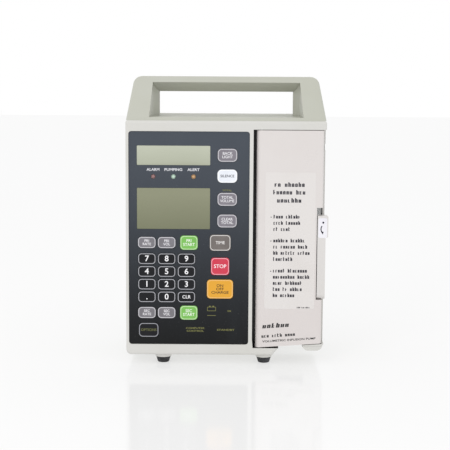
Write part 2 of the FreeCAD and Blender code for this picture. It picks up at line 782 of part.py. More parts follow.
def make_latch_lever():
    """Latch lever with its finger pad, stub shaft, crank arm and crank pin."""
    x0 = notch_left + lever_side_gap
    half = lever_depth / 2
    z1 = pivot_z - half + lever_length
    bar = side_slab([(front, pivot_z - half, half - 0.02), (front + lever_depth, pivot_z - half, half - 0.02),
                     (front + lever_depth, z1, 1.5), (front, z1, 1.5)], x0, right + 0.2)
    pad = side_slab(rectangle(front, front + lever_depth, z1 - lever_pad_length, z1, 1.5), right - 1.0,
                    right + lever_proud)
    pad = pad.makeFillet(1.4, edges_at(pad, lambda x, y, z: abs(x - right - lever_proud) < 0.01))
    crank_y = pivot_y + crank_radius
    stub = rod(crank_right - 0.5, pivot_y, pivot_z, (1, 0, 0), stub_radius, x0 - crank_right + 1.0)
    arm_outline = rectangle(pivot_y - crank_half, crank_y + crank_half, pivot_z - crank_half,
                            pivot_z + crank_half, crank_half - 0.02)
    arm = side_slab(arm_outline, crank_right - crank_thickness, crank_right)
    pin = rod(slide_left - 0.2, crank_y, pivot_z, (1, 0, 0), crank_pin_radius, crank_right - slide_left)
    return join([bar, pad, stub, arm, pin])


def make_latch_slide():
    """Bar inside the door, lifted by the crank, with a hook at each end that reaches the bay."""
    bar = block(slide_left, slide_right, slide_front, slide_back, lower_hook, upper_hook + hook_height)
    tip = front + door_depth + hook_reach
    hooks = []
    for z in (lower_hook, upper_hook):
        hooks.append(block(slide_left, slide_right, slide_back - 0.5, tip, z, z + hook_height))
        hooks.append(block(slide_left, slide_right, tip - 2.0, tip, z - hook_nose, z + 0.5))
    crank_y = pivot_y + crank_radius
    reach = crank_pin_radius + slide_play
    slot = block(slide_left - 1, slide_right + 1, crank_y - crank_radius * 0.5 - reach, crank_y + reach,
                 pivot_z - reach, pivot_z + reach)
    return join([bar, *hooks]).cut(slot)


# ================= tubing path and mechanism =================
def make_tube_plate():
    """Moulded plate behind the door, with the tubing channel and the window for the fingers."""
    plate = block(bay_left, right - wall, plate_front, plate_back, raised_floor + wall, top - band_height)
    half = channel_width / 2
    z_end = channel_top + half
    channel_plan = [(channel_x - half, plate_front - 1, 0), (channel_x + half, plate_front - 1, 0),
                    (channel_x + half, channel_floor, 1.2), (channel_x - half, channel_floor, 1.2)]
    channel = column(channel_plan, 0, z_end)
    exit_run = block(channel_x - half, right + 1, plate_front - 1, channel_floor, channel_top - half, z_end)
    cuts = [
        channel, exit_run,
        slab(rectangle(channel_x - window_half, channel_x + window_half, window_low, window_high, 0.5),
             plate_front - 1, plate_back + 1),
        block(channel_x - clamp_blade_width / 2 - 0.1, channel_x + clamp_blade_width / 2 + 0.1,
              channel_floor - clamp_stroke - 0.3, plate_back + 1, tube_clamp_z - 0.1,
              tube_clamp_z + clamp_height + 0.1),
    ]
    for z in (lower_sensor, upper_sensor):
        cuts.append(rod(channel_x, channel_floor, z, (0, 1, 0), sensor_radius, 10.0))
    for side in (-1, 1):
        a = channel_x + side * half
        b = channel_x + side * (half + air_sensor_width)
        cuts.append(block(min(a, b), max(a, b), plate_front - 1, plate_back - 1.0, air_sensor_low,
                          air_sensor_low + air_sensor_height))
    for z in (lower_hook, upper_hook):
        cuts.append(block(slide_left - 1.2, slide_right + 3.2, plate_front - 1, plate_back - 1.0,
                          z - hook_nose - 0.4, z + hook_height + 6.0))
    return cut(plate, cuts)


def make_pump_frame():
    """Metal frame behind the tube plate: finger guides, bearing plates and the motor's shelf."""
    y0 = plate_back
    y1 = y0 + frame_plate
    half = 22.0
    shelf_low = lower_bearing
    roof_low = upper_bearing
    side_top = roof_low + bearing_width
    base = block(channel_x - half, channel_x + half, y0, y1, shelf_low, side_top)
    pieces = [base]
    for side in (-1, 1):
        a = channel_x + side * (finger_width / 2 + 0.15)
        b = channel_x + side * (finger_width / 2 + 3.15)
        pieces.append(block(min(a, b), max(a, b), y1 - 0.5, cam_y - cam_radius - cam_throw - 1.2,
                            window_low - 0.5, window_high + 0.5))
        a = channel_x + side * 14.0
        b = channel_x + side * 17.0
        pieces.append(block(min(a, b), max(a, b), y1 - 0.5, cam_y + 14.0, shelf_low, side_top))
    pieces.append(block(channel_x - 17.0, channel_x + 17.0, y1 - 0.5, cam_y + 14.0, roof_low, side_top))
    pieces.append(block(channel_x - half, channel_x + half, y1 - 0.5, motor_y + motor_side / 2,
                        shelf_low, shelf_low + bearing_width))
    frame = join(pieces)
    cuts = [
        block(channel_x - finger_width / 2 - 0.15, channel_x + finger_width / 2 + 0.15, y0 - 1, y1 + 1,
              window_low, window_high),
        rod(channel_x, cam_y, roof_low - 1, (0, 0, 1), bearing_radius, bearing_width + 2),
        rod(channel_x, cam_y, shelf_low - 1, (0, 0, 1), bearing_radius, bearing_width + 2),
        rod(channel_x, motor_y, shelf_low - 1, (0, 0, 1), 11.0, bearing_width + 2),
    ]
    return cut(frame, cuts)


def make_pump_fingers():
    """Twelve flat fingers side by side, drawn at the front end of their stroke."""
    rear = cam_y - cam_radius - cam_throw - cam_gap
    half = finger_width / 2
    fingers = []
    for i in range(finger_count):
        z0 = bank_low + i * finger_pitch + finger_gap / 2
        z1 = z0 + finger_pitch - finger_gap
        finger = side_slab([(finger_tip, z0, 1.2), (rear, z0, 0), (rear, z1, 0), (finger_tip, z1, 1.2)],
                           channel_x - half, channel_x + half)
        fingers.append(finger)
    return group(fingers)


def make_camshaft():
    """Camshaft with one round cam per finger, each turned on by an equal step, and its pulley."""
    low = pulley_low - 3.0
    shaft = rod(channel_x, cam_y, low, (0, 0, 1), shaft_radius, upper_bearing + bearing_width + 2.0 - low)
    pieces = [shaft]
    for i in range(finger_count):
        turn = 2 * math.pi * i / finger_count
        z0 = bank_low + i * finger_pitch + 0.3
        pieces.append(rod(channel_x + cam_throw * math.cos(turn), cam_y + cam_throw * math.sin(turn), z0,
                          (0, 0, 1), cam_radius, finger_pitch - 0.6))
    pieces += pulley(channel_x, cam_y, cam_pulley_radius)
    return join(pieces)


def pulley(x, y, radius):
    """A flat pulley with a flange at each end."""
    rim = radius + flange_height
    upper = pulley_low + pulley_width - flange_thickness
    return [
        rod(x, y, pulley_low, (0, 0, 1), radius, pulley_width),
        rod(x, y, pulley_low, (0, 0, 1), rim, flange_thickness),
        rod(x, y, upper, (0, 0, 1), rim, flange_thickness),
    ]


def make_camshaft_bearings():
    """Two ball bearings, each an outer ring, an inner ring and eight balls."""
    solids = []
    ball_radius = (bearing_radius - shaft_radius) / 2 - bearing_ring
    track = (bearing_radius + shaft_radius) / 2
    for z0 in (upper_bearing, lower_bearing):
        outer = rod(channel_x, cam_y, z0, (0, 0, 1), bearing_radius, bearing_width)
        race = bearing_radius - bearing_ring
        outer = outer.cut(rod(channel_x, cam_y, z0 - 1, (0, 0, 1), race, bearing_width + 2))
        inner = rod(channel_x, cam_y, z0, (0, 0, 1), shaft_radius + bearing_ring, bearing_width)
        bore = shaft_radius + running_gap
        inner = inner.cut(rod(channel_x, cam_y, z0 - 1, (0, 0, 1), bore, bearing_width + 2))
        solids += [outer, inner]
        for i in range(bearing_balls):
            turn = 2 * math.pi * i / bearing_balls
            solids.append(Part.makeSphere(ball_radius, Vector(
                channel_x + track * math.cos(turn), cam_y + track * math.sin(turn), z0 + bearing_width / 2)))
    return group(solids)


def square_plan(y, half, r):
    """A square in plan, centred on the pump's middle plane."""
    return [(channel_x - half, y - half, r), (channel_x + half, y - half, r),
            (channel_x + half, y + half, r), (channel_x - half, y + half, r)]


def make_stepper_motor():
    """Square stepper motor standing on the frame's shelf, its shaft hole underneath."""
    half = motor_side / 2
    z0 = lower_bearing + bearing_width
    case = column(square_plan(motor_y, half, 5.0), z0, z0 + motor_height)
    spigot = rod(channel_x, motor_y, z0 - 2.0, (0, 0, 1), 10.9, 2.5)
    band = 7.0
    waist = column(square_plan(motor_y, half + 1.0, 0), z0 + band, z0 + motor_height - band)
    waist = waist.cut(column(square_plan(motor_y, half - 0.8, 6.0), z0, z0 + motor_height))
    bore = rod(channel_x, motor_y, z0 - 3.0, (0, 0, 1), motor_shaft_radius + running_gap, 16.0)
    return cut(join([case, spigot]), [waist, bore])


def make_motor_pulley():
    """Motor shaft with the small pulley on its lower end."""
    low = pulley_low - 2.0
    high = lower_bearing + bearing_width + 12.0
    shaft = rod(channel_x, motor_y, low, (0, 0, 1), motor_shaft_radius, high - low)
    return join([shaft, *pulley(channel_x, motor_y, motor_pulley_radius)])


def loop_face(r1, r2, z):
    """The area inside a band stretched round two circles on the camshaft and motor axes."""
    lean = math.asin((r1 - r2) / motor_offset)
    a = Vector(channel_x, cam_y, z)
    b = Vector(channel_x, motor_y, z)

    def at(centre, r, angle):
        return centre + Vector(math.cos(angle), math.sin(angle), 0) * r

    edges = [
        Part.LineSegment(at(a, r1, lean), at(b, r2, lean)).toShape(),
        Part.Arc(at(b, r2, lean), at(b, r2, math.pi / 2), at(b, r2, math.pi - lean)).toShape(),
        Part.LineSegment(at(b, r2, math.pi - lean), at(a, r1, math.pi - lean)).toShape(),
        Part.Arc(at(a, r1, math.pi - lean), at(a, r1, -math.pi / 2), at(a, r1, lean)).toShape(),
    ]
    return Part.Face(Part.Wire(edges))


def make_drive_belt():
    """Endless flat belt between the two pulleys."""
    z0 = pulley_low + flange_thickness + 0.2
    height = pulley_width - 2 * flange_thickness - 0.4
    r1 = cam_pulley_radius + belt_gap
    r2 = motor_pulley_radius + belt_gap
    outer = loop_face(r1 + belt_thickness, r2 + belt_thickness, z0).extrude(Vector(0, 0, height))
    inner = loop_face(r1, r2, z0 - 1).extrude(Vector(0, 0, height + 2))
    return outer.cut(inner)


def make_tube_sensors():
    """Two pressure sensors in the channel's floor and the two halves of the air detector."""
    solids = []
    for z in (lower_sensor, upper_sensor):
        body = rod(channel_x, channel_floor, z, (0, 1, 0), sensor_radius, plate_thickness - channel_depth)
        solids.append(join([body, rod(channel_x, channel_floor - 0.4, z, (0, 1, 0), 1.7, 1.0)]))
    half = channel_width / 2
    for side in (-1, 1):
        a = channel_x + side * (half + 0.05)
        b = channel_x + side * (half + air_sensor_width)
        solids.append(block(min(a, b), max(a, b), plate_front - 0.5, plate_back - 1.0, air_sensor_low,
                            air_sensor_low + air_sensor_height))
    return group(solids)


def make_tube_clamp():
    """Blade that closes the tubing when the door is open, with a wider tail behind the plate."""
    half = clamp_blade_width / 2
    blade = side_slab([(channel_floor, tube_clamp_z, 1.2), (plate_back + 14.0, tube_clamp_z, 0),
                       (plate_back + 14.0, tube_clamp_z + clamp_height, 0),
                       (channel_floor, tube_clamp_z + clamp_height, 1.2)], channel_x - half, channel_x + half)
    tail = block(channel_x - half - 2.0, channel_x + half + 2.0, plate_back + 8.0, plate_back + 18.0,
                 tube_clamp_z - 2.0, tube_clamp_z + clamp_height + 2.0)
    return join([blade, tail])


# ================= parts kept inside the left half =================
def make_main_board():
    """Main circuit board on edge across the casing, with chips, capacitors and connectors."""
    y0 = board_back - board_thickness
    board = block(left + 16.0, left + 108.0, y0, board_back, bottom + 62.0, top - 16.0)
    pieces = [board]
    for i, (x, z, w, h, t) in enumerate([
            (30, 150, 22, 22, 3), (64, 150, 14, 30, 3), (30, 110, 12, 28, 3), (52, 112, 18, 9, 6),
            (84, 128, 9, 40, 7), (64, 100, 12, 8, 4)]):
        pieces.append(block(left + x, left + x + w, y0 - t, y0 + 0.2, bottom + z - 30, bottom + z - 30 + h))
    for i in range(4):
        pieces.append(rod(left + 34.0 + 14.0 * i, y0 + 0.2, top - 32.0, (0, -1, 0), 5.0, 14.0))
    return join(pieces)


def board_posts():
    """Where the main board stands on posts from the back wall, as (x, z)."""
    return [(x, z) for x in (left + 21.0, left + 103.0) for z in (bottom + 67.0, top - 21.0)]


def make_battery_pack():
    """Sealed battery on the floor of the casing, with two tab terminals."""
    x0 = left + 14.0
    y0 = joint + 18.0
    z0 = bottom + wall
    w, d, h = battery_size
    box = column([(x0, y0, 1.5), (x0 + w, y0, 1.5), (x0 + w, y0 + d, 1.5), (x0, y0 + d, 1.5)], z0, z0 + h)
    tabs = [block(x0 + x, x0 + x + 4.8, y0 + 6.0, y0 + 6.8, z0 + h - 0.5, z0 + h + 6.5) for x in (10.0, 82.0)]
    return join([box, *tabs])


def make_power_transformer():
    """Mains transformer: laminated core with its winding, on a two-hole foot."""
    x0 = left + 62.0
    y0 = back - wall - 33.0
    z0 = bottom + wall
    core = block(x0, x0 + 50.0, y0 + 6.0, y0 + 26.0, z0, z0 + 42.0)
    windows = [block(x0 + 8.0, x0 + 17.0, y0, y0 + 30.0, z0 + 8.0, z0 + 34.0),
               block(x0 + 33.0, x0 + 42.0, y0, y0 + 30.0, z0 + 8.0, z0 + 34.0)]
    coil = block(x0 + 9.0, x0 + 41.0, y0, y0 + 32.0, z0 + 8.6, z0 + 33.4)
    return join([cut(core, windows), coil])


def inlet_outline(margin):
    """The mains inlet's cut-out in the back wall, less a margin."""
    half_width = inlet_width / 2 - margin
    half_height = inlet_height / 2 - margin
    return rectangle(inlet_x - half_width, inlet_x + half_width, inlet_z - half_height,
                     inlet_z + half_height, 2.0)


def make_power_inlet():
    """Three-pin mains inlet with its flange on the back wall."""
    flange_outline = rectangle(inlet_x - 20.0, inlet_x + 20.0, inlet_z - 12.0, inlet_z + 12.0, 4.0)
    flange = slab(flange_outline, back, back + 2.5)
    body = slab(inlet_outline(0.1), back - 22.0, back + 0.5)
    socket = slab([(inlet_x - 12.0, inlet_z - 7.8, 0.8), (inlet_x + 12.0, inlet_z - 7.8, 0.8),
                   (inlet_x + 12.0, inlet_z + 3.4, 0.8), (inlet_x + 7.6, inlet_z + 7.8, 0.8),
                   (inlet_x - 7.6, inlet_z + 7.8, 0.8), (inlet_x - 12.0, inlet_z + 3.4, 0.8)],
                  back - 17.5, back + 3.0)
    shell = join([flange, body]).cut(socket)
    blades = []
    for dx, dz in ((-7.0, -5.0), (7.0, -5.0), (0.0, 0.0)):
        blades.append(block(inlet_x + dx - 1.0, inlet_x + dx + 1.0, back - 18.5, back - 4.0,
                            inlet_z + dz - 2.0, inlet_z + dz + 2.0))
    holes = [rod(inlet_x + dx, back - 1.0, inlet_z, (0, 1, 0), 1.7, 5.0) for dx in (-16.5, 16.5)]
    return cut(join([shell, *blades]), holes)


# ================= pole clamp =================
def make_clamp_bracket():
    """Fixed half of the pole clamp: back plate, curved jaw and the boss for the screw."""
    plate_outline = rectangle(pole_x - 30.0, pole_x + 44.0, pole_z - 24.0, pole_z + 24.0, 5.0)
    plate = slab(plate_outline, back, back + clamp_plate)
    z0 = pole_z - jaw_height / 2
    z1 = pole_z + jaw_height / 2
    jaw_left = pole_x - pole_radius - jaw_wall
    tip = math.radians(180.0 - jaw_open)
    tip_x = pole_x + pole_radius * math.cos(tip)
    tip_y = pole_y + pole_radius * math.sin(tip)
    jaw = column([(jaw_left, back, 0), (boss_left + boss_width, back, 0),
                  (boss_left + boss_width, pole_y + 10.0, 6.0), (boss_left, pole_y + 10.0, 2.0),
                  (boss_left, pole_y - pole_radius, 3.0), (pole_x, pole_y - pole_radius, 0),
                  (pole_x, pole_y, 0), (tip_x, tip_y, 0),
                  (tip_x - 2.0, pole_y + pole_radius + jaw_lip, 1.0),
                  (jaw_left, pole_y + pole_radius + jaw_lip, 7.0)], z0, z1)
    jaw = jaw.cut(rod(pole_x, pole_y, z0 - 1, (0, 0, 1), pole_radius, jaw_height + 2))
    bracket = join([plate, jaw])
    cuts = [rod(boss_left - 1, pole_y, pole_z, (1, 0, 0), clamp_screw_radius + running_gap, boss_width + 2)]
    for x, z in clamp_screw_places():
        cuts.append(rod(x, back - 1, z, (0, 1, 0), screw_bore_radius, clamp_plate + 2))
    return cut(bracket, cuts)


def make_clamp_pad():
    """Round pad on the end of the screw, which slides but does not turn."""
    pad = rod(pad_face, pole_y, pole_z, (1, 0, 0), pad_radius, pad_thickness)
    pad = pad.makeFillet(1.0, edges_at(pad, lambda x, y, z: abs(x - pad_face) < 0.01))
    socket = rod(pad_face + 1.8, pole_y, pole_z, (1, 0, 0), clamp_screw_radius + running_gap, pad_thickness)
    return pad.cut(socket)


def make_clamp_screw():
    """Clamp screw from the pad's socket to the knob."""
    start = pad_face + 1.9
    return rod(start, pole_y, pole_z, (1, 0, 0), clamp_screw_radius, knob_left + 8.0 - start)


def make_clamp_knob():
    """Fluted hand knob, bored for the screw."""
    knob = rod(knob_left, pole_y, pole_z, (1, 0, 0), knob_radius, knob_thickness)
    knob = knob.makeFillet(2.5, edges_at(knob, lambda x, y, z: x > knob_left + knob_thickness - 0.01))
    cuts = [rod(knob_left - 1, pole_y, pole_z, (1, 0, 0), clamp_screw_radius, 9.0)]
    for i in range(knob_flutes):
        turn = 2 * math.pi * (i + 0.5) / knob_flutes
        ring = knob_radius + 4.0
        cuts.append(rod(knob_left - 1, pole_y + ring * math.cos(turn), pole_z + ring * math.sin(turn),
                        (1, 0, 0), 7.5, knob_thickness + 2))
    return cut(knob, cuts)


# ================= build =================
def build():
    """Every named part of the pump."""
    makers = {
        "front_case": make_front_case, "rear_case": make_rear_case, "carry_handle": make_carry_handle,
        "rubber_feet": make_rubber_feet, "case_screws": make_case_screws,
        "keypad_overlay": make_keypad_overlay, "lcd_modules": make_lcd_modules,
        "status_leds": make_status_leds, "display_board": make_display_board,
        "main_board": make_main_board, "battery_pack": make_battery_pack,
        "power_transformer": make_power_transformer, "power_inlet": make_power_inlet,
        "tube_plate": make_tube_plate, "pump_frame": make_pump_frame, "pump_fingers": make_pump_fingers,
        "camshaft": make_camshaft, "camshaft_bearings": make_camshaft_bearings,
        "stepper_motor": make_stepper_motor, "motor_pulley": make_motor_pulley, "drive_belt": make_drive_belt,
        "tube_sensors": make_tube_sensors, "tube_clamp": make_tube_clamp,
        "door_cover": make_door_cover, "door_liner": make_door_liner, "pressure_plate": make_pressure_plate,
        "pressure_springs": make_pressure_springs, "hinge_pins": make_hinge_pins,
        "latch_lever": make_latch_lever, "latch_slide": make_latch_slide,
        "clamp_bracket": make_clamp_bracket, "clamp_pad": make_clamp_pad,
        "clamp_screw": make_clamp_screw, "clamp_knob": make_clamp_knob,
    }
    parts = {name: make() for name, make in makers.items()}
    for name, place in key_layout().items():
        parts[name] = make_key(*place)
    return parts


def export(parts):
    """Writes one STEP file per part."""
    os.makedirs("parts", exist_ok=True)
    for name, shape in parts.items():
        shape.exportStep("parts/" + name + ".step")


if __name__ == "__main__":
    built = build()
    for name, shape in built.items():
        ok = shape.isValid() and all(s.Volume > 0 for s in shape.Solids)
        print(name, len(shape.Solids), "solids", "ok" if ok else "BAD", round(shape.Volume / 1000, 2), "cm3")
    export(built)
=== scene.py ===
"""Looks of a volumetric infusion pump: a keypad and two displays beside a latched door over the pumping bay.

Lengths in the classes are millimetres, and MM turns them into the frame's metres. The front faces -Y.
"""

import logging
import math
from dataclasses import dataclass, field
from enum import Enum
from typing import Iterable, Sequence

import bpy
import numpy as np
from mathutils import Euler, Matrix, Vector


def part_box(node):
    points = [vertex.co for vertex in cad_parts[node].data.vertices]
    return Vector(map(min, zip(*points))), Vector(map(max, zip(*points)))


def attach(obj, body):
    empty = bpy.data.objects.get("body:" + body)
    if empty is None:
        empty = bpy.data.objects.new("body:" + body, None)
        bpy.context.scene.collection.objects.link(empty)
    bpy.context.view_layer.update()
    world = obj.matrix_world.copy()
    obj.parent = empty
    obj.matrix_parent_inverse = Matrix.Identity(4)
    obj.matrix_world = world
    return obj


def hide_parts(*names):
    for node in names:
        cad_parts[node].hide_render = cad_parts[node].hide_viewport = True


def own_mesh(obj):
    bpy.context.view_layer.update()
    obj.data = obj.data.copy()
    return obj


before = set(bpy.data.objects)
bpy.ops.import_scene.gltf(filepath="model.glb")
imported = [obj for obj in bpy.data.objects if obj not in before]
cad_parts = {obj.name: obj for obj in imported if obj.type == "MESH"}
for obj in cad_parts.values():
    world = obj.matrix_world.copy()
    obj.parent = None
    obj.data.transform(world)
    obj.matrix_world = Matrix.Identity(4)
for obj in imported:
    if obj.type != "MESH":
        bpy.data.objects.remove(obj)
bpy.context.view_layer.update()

MM = 0.001
INK = 0.05          # how far print stands out
SUNK = 0.01         # how deep the back of print lies in its surface
PASTED = 0.02       # the same for a label
CAPITAL = 0.70      # a capital's height as a share of the type's size
Pair = tuple[float, float]
Triple = tuple[float, float, float]
Material = bpy.types.Material
Socket = bpy.types.NodeSocket
log = logging.getLogger("pump")


def srgb(code: str) -> Triple:
    """Linear colour of a six-digit hexadecimal display colour.

    Args:
        code: the display colour, such as "C8CABF".

    Returns:
        Red, green and blue between 0 and 1, each decoded from the display curve.
    """
    parts = [int(code[i:i + 2], 16) / 255 for i in (0, 2, 4)]
    return tuple(p / 12.92 if p <= 0.04045 else ((p + 0.055) / 1.055) ** 2.4 for p in parts)


@dataclass(frozen=True)
class Box:
    """A CAD node's box, in millimetres."""

    left: float
    right: float
    front: float
    back: float
    bottom: float
    top: float

    @classmethod
    def of(cls, node: str) -> "Box":
        """Measures a node at rest."""
        low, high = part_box(node)
        return cls(low.x / MM, high.x / MM, low.y / MM, high.y / MM, low.z / MM, high.z / MM)

    @property
    def centre(self) -> Pair:
        """The middle of the box seen from the front, across and up."""
        return (self.left + self.right) / 2, (self.bottom + self.top) / 2

    @property
    def half(self) -> Pair:
        """Half the width and half the height."""
        return (self.right - self.left) / 2, (self.top - self.bottom) / 2


# ---------------------------------------------------------------- shader expressions
@dataclass(eq=False)
class Value:
    """A number socket of a shader tree, whose arithmetic adds Math nodes."""

    tree: "Tree"
    socket: Socket

    def _math(self, operation: str, first: object, second: object = None) -> "Value":
        """Adds one Math node.

        Args:
            operation: the node's operation.
            first: its first input, a Value or a number.
            second: its second input, where it has one.

        Returns:
            The node's result.
        """
        inputs = {0: first} if second is None else {0: first, 1: second}
        return self.tree.value("Math", inputs, {"operation": operation})

    def __add__(self, other: object) -> "Value":
        """This plus other."""
        return self._math("ADD", self, other)

    __radd__ = __add__

    def __sub__(self, other: object) -> "Value":
        """This minus other."""
        return self._math("SUBTRACT", self, other)

    def __rsub__(self, other: object) -> "Value":
        """Other minus this."""
        return self._math("SUBTRACT", other, self)

    def __mul__(self, other: object) -> "Value":
        """This times other."""
        return self._math("MULTIPLY", self, other)

    __rmul__ = __mul__

    def __truediv__(self, other: object) -> "Value":
        """This over other."""
        return self._math("DIVIDE", self, other)

    def __abs__(self) -> "Value":
        """This without its sign."""
        return self._math("ABSOLUTE", self)

    def over(self, limit: float) -> "Value":
        """1 where this is greater than the limit, and 0 elsewhere."""
        return self._math("GREATER_THAN", self, limit)

    def repeat(self) -> "Value":
        """The fractional part of this."""
        return self._math("FRACT", self)

    def ramp(self, low: float, high: float) -> "Value":
        """A smooth step from 0 at low to 1 at high.

        Args:
            low: where the step starts.
            high: where the step ends, which may be below low.

        Returns:
            The smooth step.
        """
        return self.tree.value("MapRange", {"Value": self, "From Min": low, "From Max": high},
                               {"interpolation_type": "SMOOTHSTEP"})


class Tree:
    """A material's node tree while it is being written."""

    def __init__(self, name: str) -> None:
        """Makes an empty material.

        Args:
            name: the material's name.
        """
        self.material = bpy.data.materials.new(name)
        self.material.use_nodes = True
        self.nodes = self.material.node_tree.nodes
        self.links = self.material.node_tree.links
        self.nodes.clear()
        self.place = self.add("TexCoord").outputs["Object"]

    def add(self, kind: str, inputs: dict | None = None, settings: dict | None = None) -> bpy.types.Node:
        """Adds a node.

        Args:
            kind: the node's type, without its prefix.
            inputs: socket name or number to a Value, a socket, a number or a colour.
            settings: properties of the node, set before its sockets; "stops" fills a colour ramp.

        Returns:
            The new node.
        """
        node = self.nodes.new("ShaderNode" + kind)
        for key, setting in (settings or {}).items():
            if key == "stops":
                self._fill_ramp(node.color_ramp, setting)
            else:
                setattr(node, key, setting)
        for key, source in (inputs or {}).items():
            if isinstance(source, Value):
                self.links.new(source.socket, node.inputs[key])
            elif isinstance(source, Socket):
                self.links.new(source, node.inputs[key])
            else:
                node.inputs[key].default_value = source
        return node

    def value(self, kind: str, inputs: dict, settings: dict | None = None, name: object = 0) -> Value:
        """Adds a node as add does, and gives its output of that name or number for arithmetic."""
        return Value(self, self.add(kind, inputs, settings).outputs[name])

    @staticmethod
    def _fill_ramp(ramp: bpy.types.ColorRamp, stops: Sequence[tuple[float, str]]) -> None:
        """Puts stops, each a position and a colour, into a colour ramp."""
        while len(ramp.elements) < len(stops):
            ramp.elements.new(1.0)
        for element, (position, colour) in zip(ramp.elements, stops):
            element.position = position
            element.color = (*srgb(colour), 1.0)

    def noise(self, scale: float, detail: float, stretch: Triple = (1, 1, 1)) -> Value:
        """Fractal noise between 0 and 1.

        Args:
            scale: how many features lie in a metre.
            detail: how many finer layers are added.
            stretch: scale of the three axes before the noise is read.

        Returns:
            The noise.
        """
        spot = self.add("Mapping", {"Vector": self.place, "Scale": stretch}, {"vector_type": "POINT"})
        return self.value("TexNoise", {"Vector": spot.outputs[0], "Scale": scale, "Detail": detail})

    def axes(self) -> tuple[Value, Value, Value]:
        """The object coordinates along X, Y and Z, in metres."""
        split = self.add("SeparateXYZ", {0: self.place})
        return tuple(Value(self, socket) for socket in split.outputs)

    def mix(self, factor: object, first: object, second: object) -> Socket:
        """A colour between two colours.

        Args:
            factor: 0 for the first, 1 for the second.
            first: a display colour or a colour socket.
            second: a display colour or a colour socket.

        Returns:
            The mixed colour's socket.
        """
        full = [(*srgb(c), 1.0) if isinstance(c, str) else c for c in (first, second)]
        return self.add("Mix", {0: factor, 6: full[0], 7: full[1]}, {"data_type": "RGBA"}).outputs[2]

    def bump(self, height: Value, distance: float, strength: float) -> Socket:
        """A surface normal tilted by a height.

        Args:
            height: the height, where 1 stands for the distance.
            distance: the height's real size in millimetres.
            strength: how much of the tilt is kept.

        Returns:
            The normal's socket.
        """
        node = self.add("Bump", {"Height": height, "Distance": distance * MM, "Strength": strength})
        return node.outputs[0]

    def crevice(self, reach: float) -> Value:
        """Painted shade from ambient occlusion: 1 in corners and gaps narrower than a reach in metres, and 0
        on open surfaces.
        """
        return 1 - self.value("AmbientOcclusion", {"Distance": reach}, {"samples": 6}, "AO")

    def finish(self, inputs: dict) -> Material:
        """Closes the tree with a Principled shader.

        Args:
            inputs: its sockets' values or links.

        Returns:
            The material.
        """
        self.add("OutputMaterial", {"Surface": self.add("BsdfPrincipled", inputs).outputs[0]})
        return self.material


# ---------------------------------------------------------------- finishes
@dataclass(frozen=True)
class MouldedPlastic:
    """Moulded casing plastic with a spark-eroded grain, dark specks, painted shade darkening its corners and
    gaps, and pale worn areas.
    """

    name: str
    colour: str
    grime: str
    aged: str
    roughness: float = 0.42
    grain: float = 0.35
    grain_size: float = 0.55
    grime_reach: float = 3.0
    grime_amount: float = 0.55
    lining: Box | None = None

    def material(self) -> Material:
        """Builds the material, with painted shade, near-black, on what lies in a box where it has one."""
        tree = Tree(self.name)
        clouds = tree.noise(9.0, 4.0)
        blotches = tree.noise(55.0, 5.0)
        specks = tree.noise(1700.0, 2.0).ramp(0.72, 0.80)
        base = tree.mix(clouds.ramp(0.35, 0.75) * 0.7, self.colour, self.aged)
        base = tree.mix(specks * 0.10, base, self.grime)
        # painted shade: ambient occlusion darkens corners and gaps towards the specks' dark colour, broken up
        # by blotches
        corner = tree.crevice(self.grime_reach * MM)
        painted_shade = (corner * (0.6 + 0.8 * blotches) * self.grime_amount).ramp(0.05, 0.8)
        base = tree.mix(painted_shade, base, self.grime)
        if self.lining:
            # painted shade: what lies in the box turns near-black, standing in for the shade in the gap
            # beside the door
            x, y, z = tree.axes()
            bay = self.lining
            inside = x.over(bay.left * MM) * (1 - x.over(bay.right * MM)) * y.over(bay.front * MM)
            inside = inside * z.over(bay.bottom * MM) * (1 - z.over(bay.top * MM))
            base = tree.mix(inside, base, "141414")
        pits = tree.noise(1000.0 / self.grain_size, 2.0)
        rub = tree.noise(30.0, 3.0, (1.0, 1.0, 0.4)).ramp(0.45, 0.7)
        rough = self.roughness + 0.10 * (pits - 0.5) - 0.07 * rub + 0.10 * painted_shade
        return tree.finish({
            "Base Color": base, "Roughness": rough,
            "Normal": tree.bump(pits + 0.5 * blotches, 0.035, self.grain),
        })


@dataclass(frozen=True)
class PrintedFilm:
    """Back-printed polyester film: dark and even, painted a little lighter at the top where more light falls,
    with a fine satin texture.
    """

    name: str
    top: str
    bottom: str
    low: float
    high: float

    def material(self) -> Material:
        """Builds the material."""
        tree = Tree(self.name)
        _, _, z = tree.axes()
        # painted light: the film runs from near-black at the bottom to grey at the top, where more light
        # falls
        rise = z.ramp(self.low * MM, self.high * MM)
        base = tree.mix(rise, self.bottom, self.top)
        smear = tree.noise(26.0, 5.0, (1.0, 1.0, 0.35))
        dust = tree.noise(900.0, 2.0).ramp(0.66, 0.76)
        base = tree.mix(smear.ramp(0.45, 0.8) * 0.10, base, "5A6168")
        base = tree.mix(dust * 0.12, base, "A0A4A8")
        satin = tree.noise(4200.0, 2.0)
        rough = 0.36 + 0.18 * (smear - 0.5) + 0.06 * (satin - 0.5)
        return tree.finish({"Base Color": base, "Roughness": rough, "Specular IOR Level": 0.22,
                            "Normal": tree.bump(satin, 0.010, 0.35)})


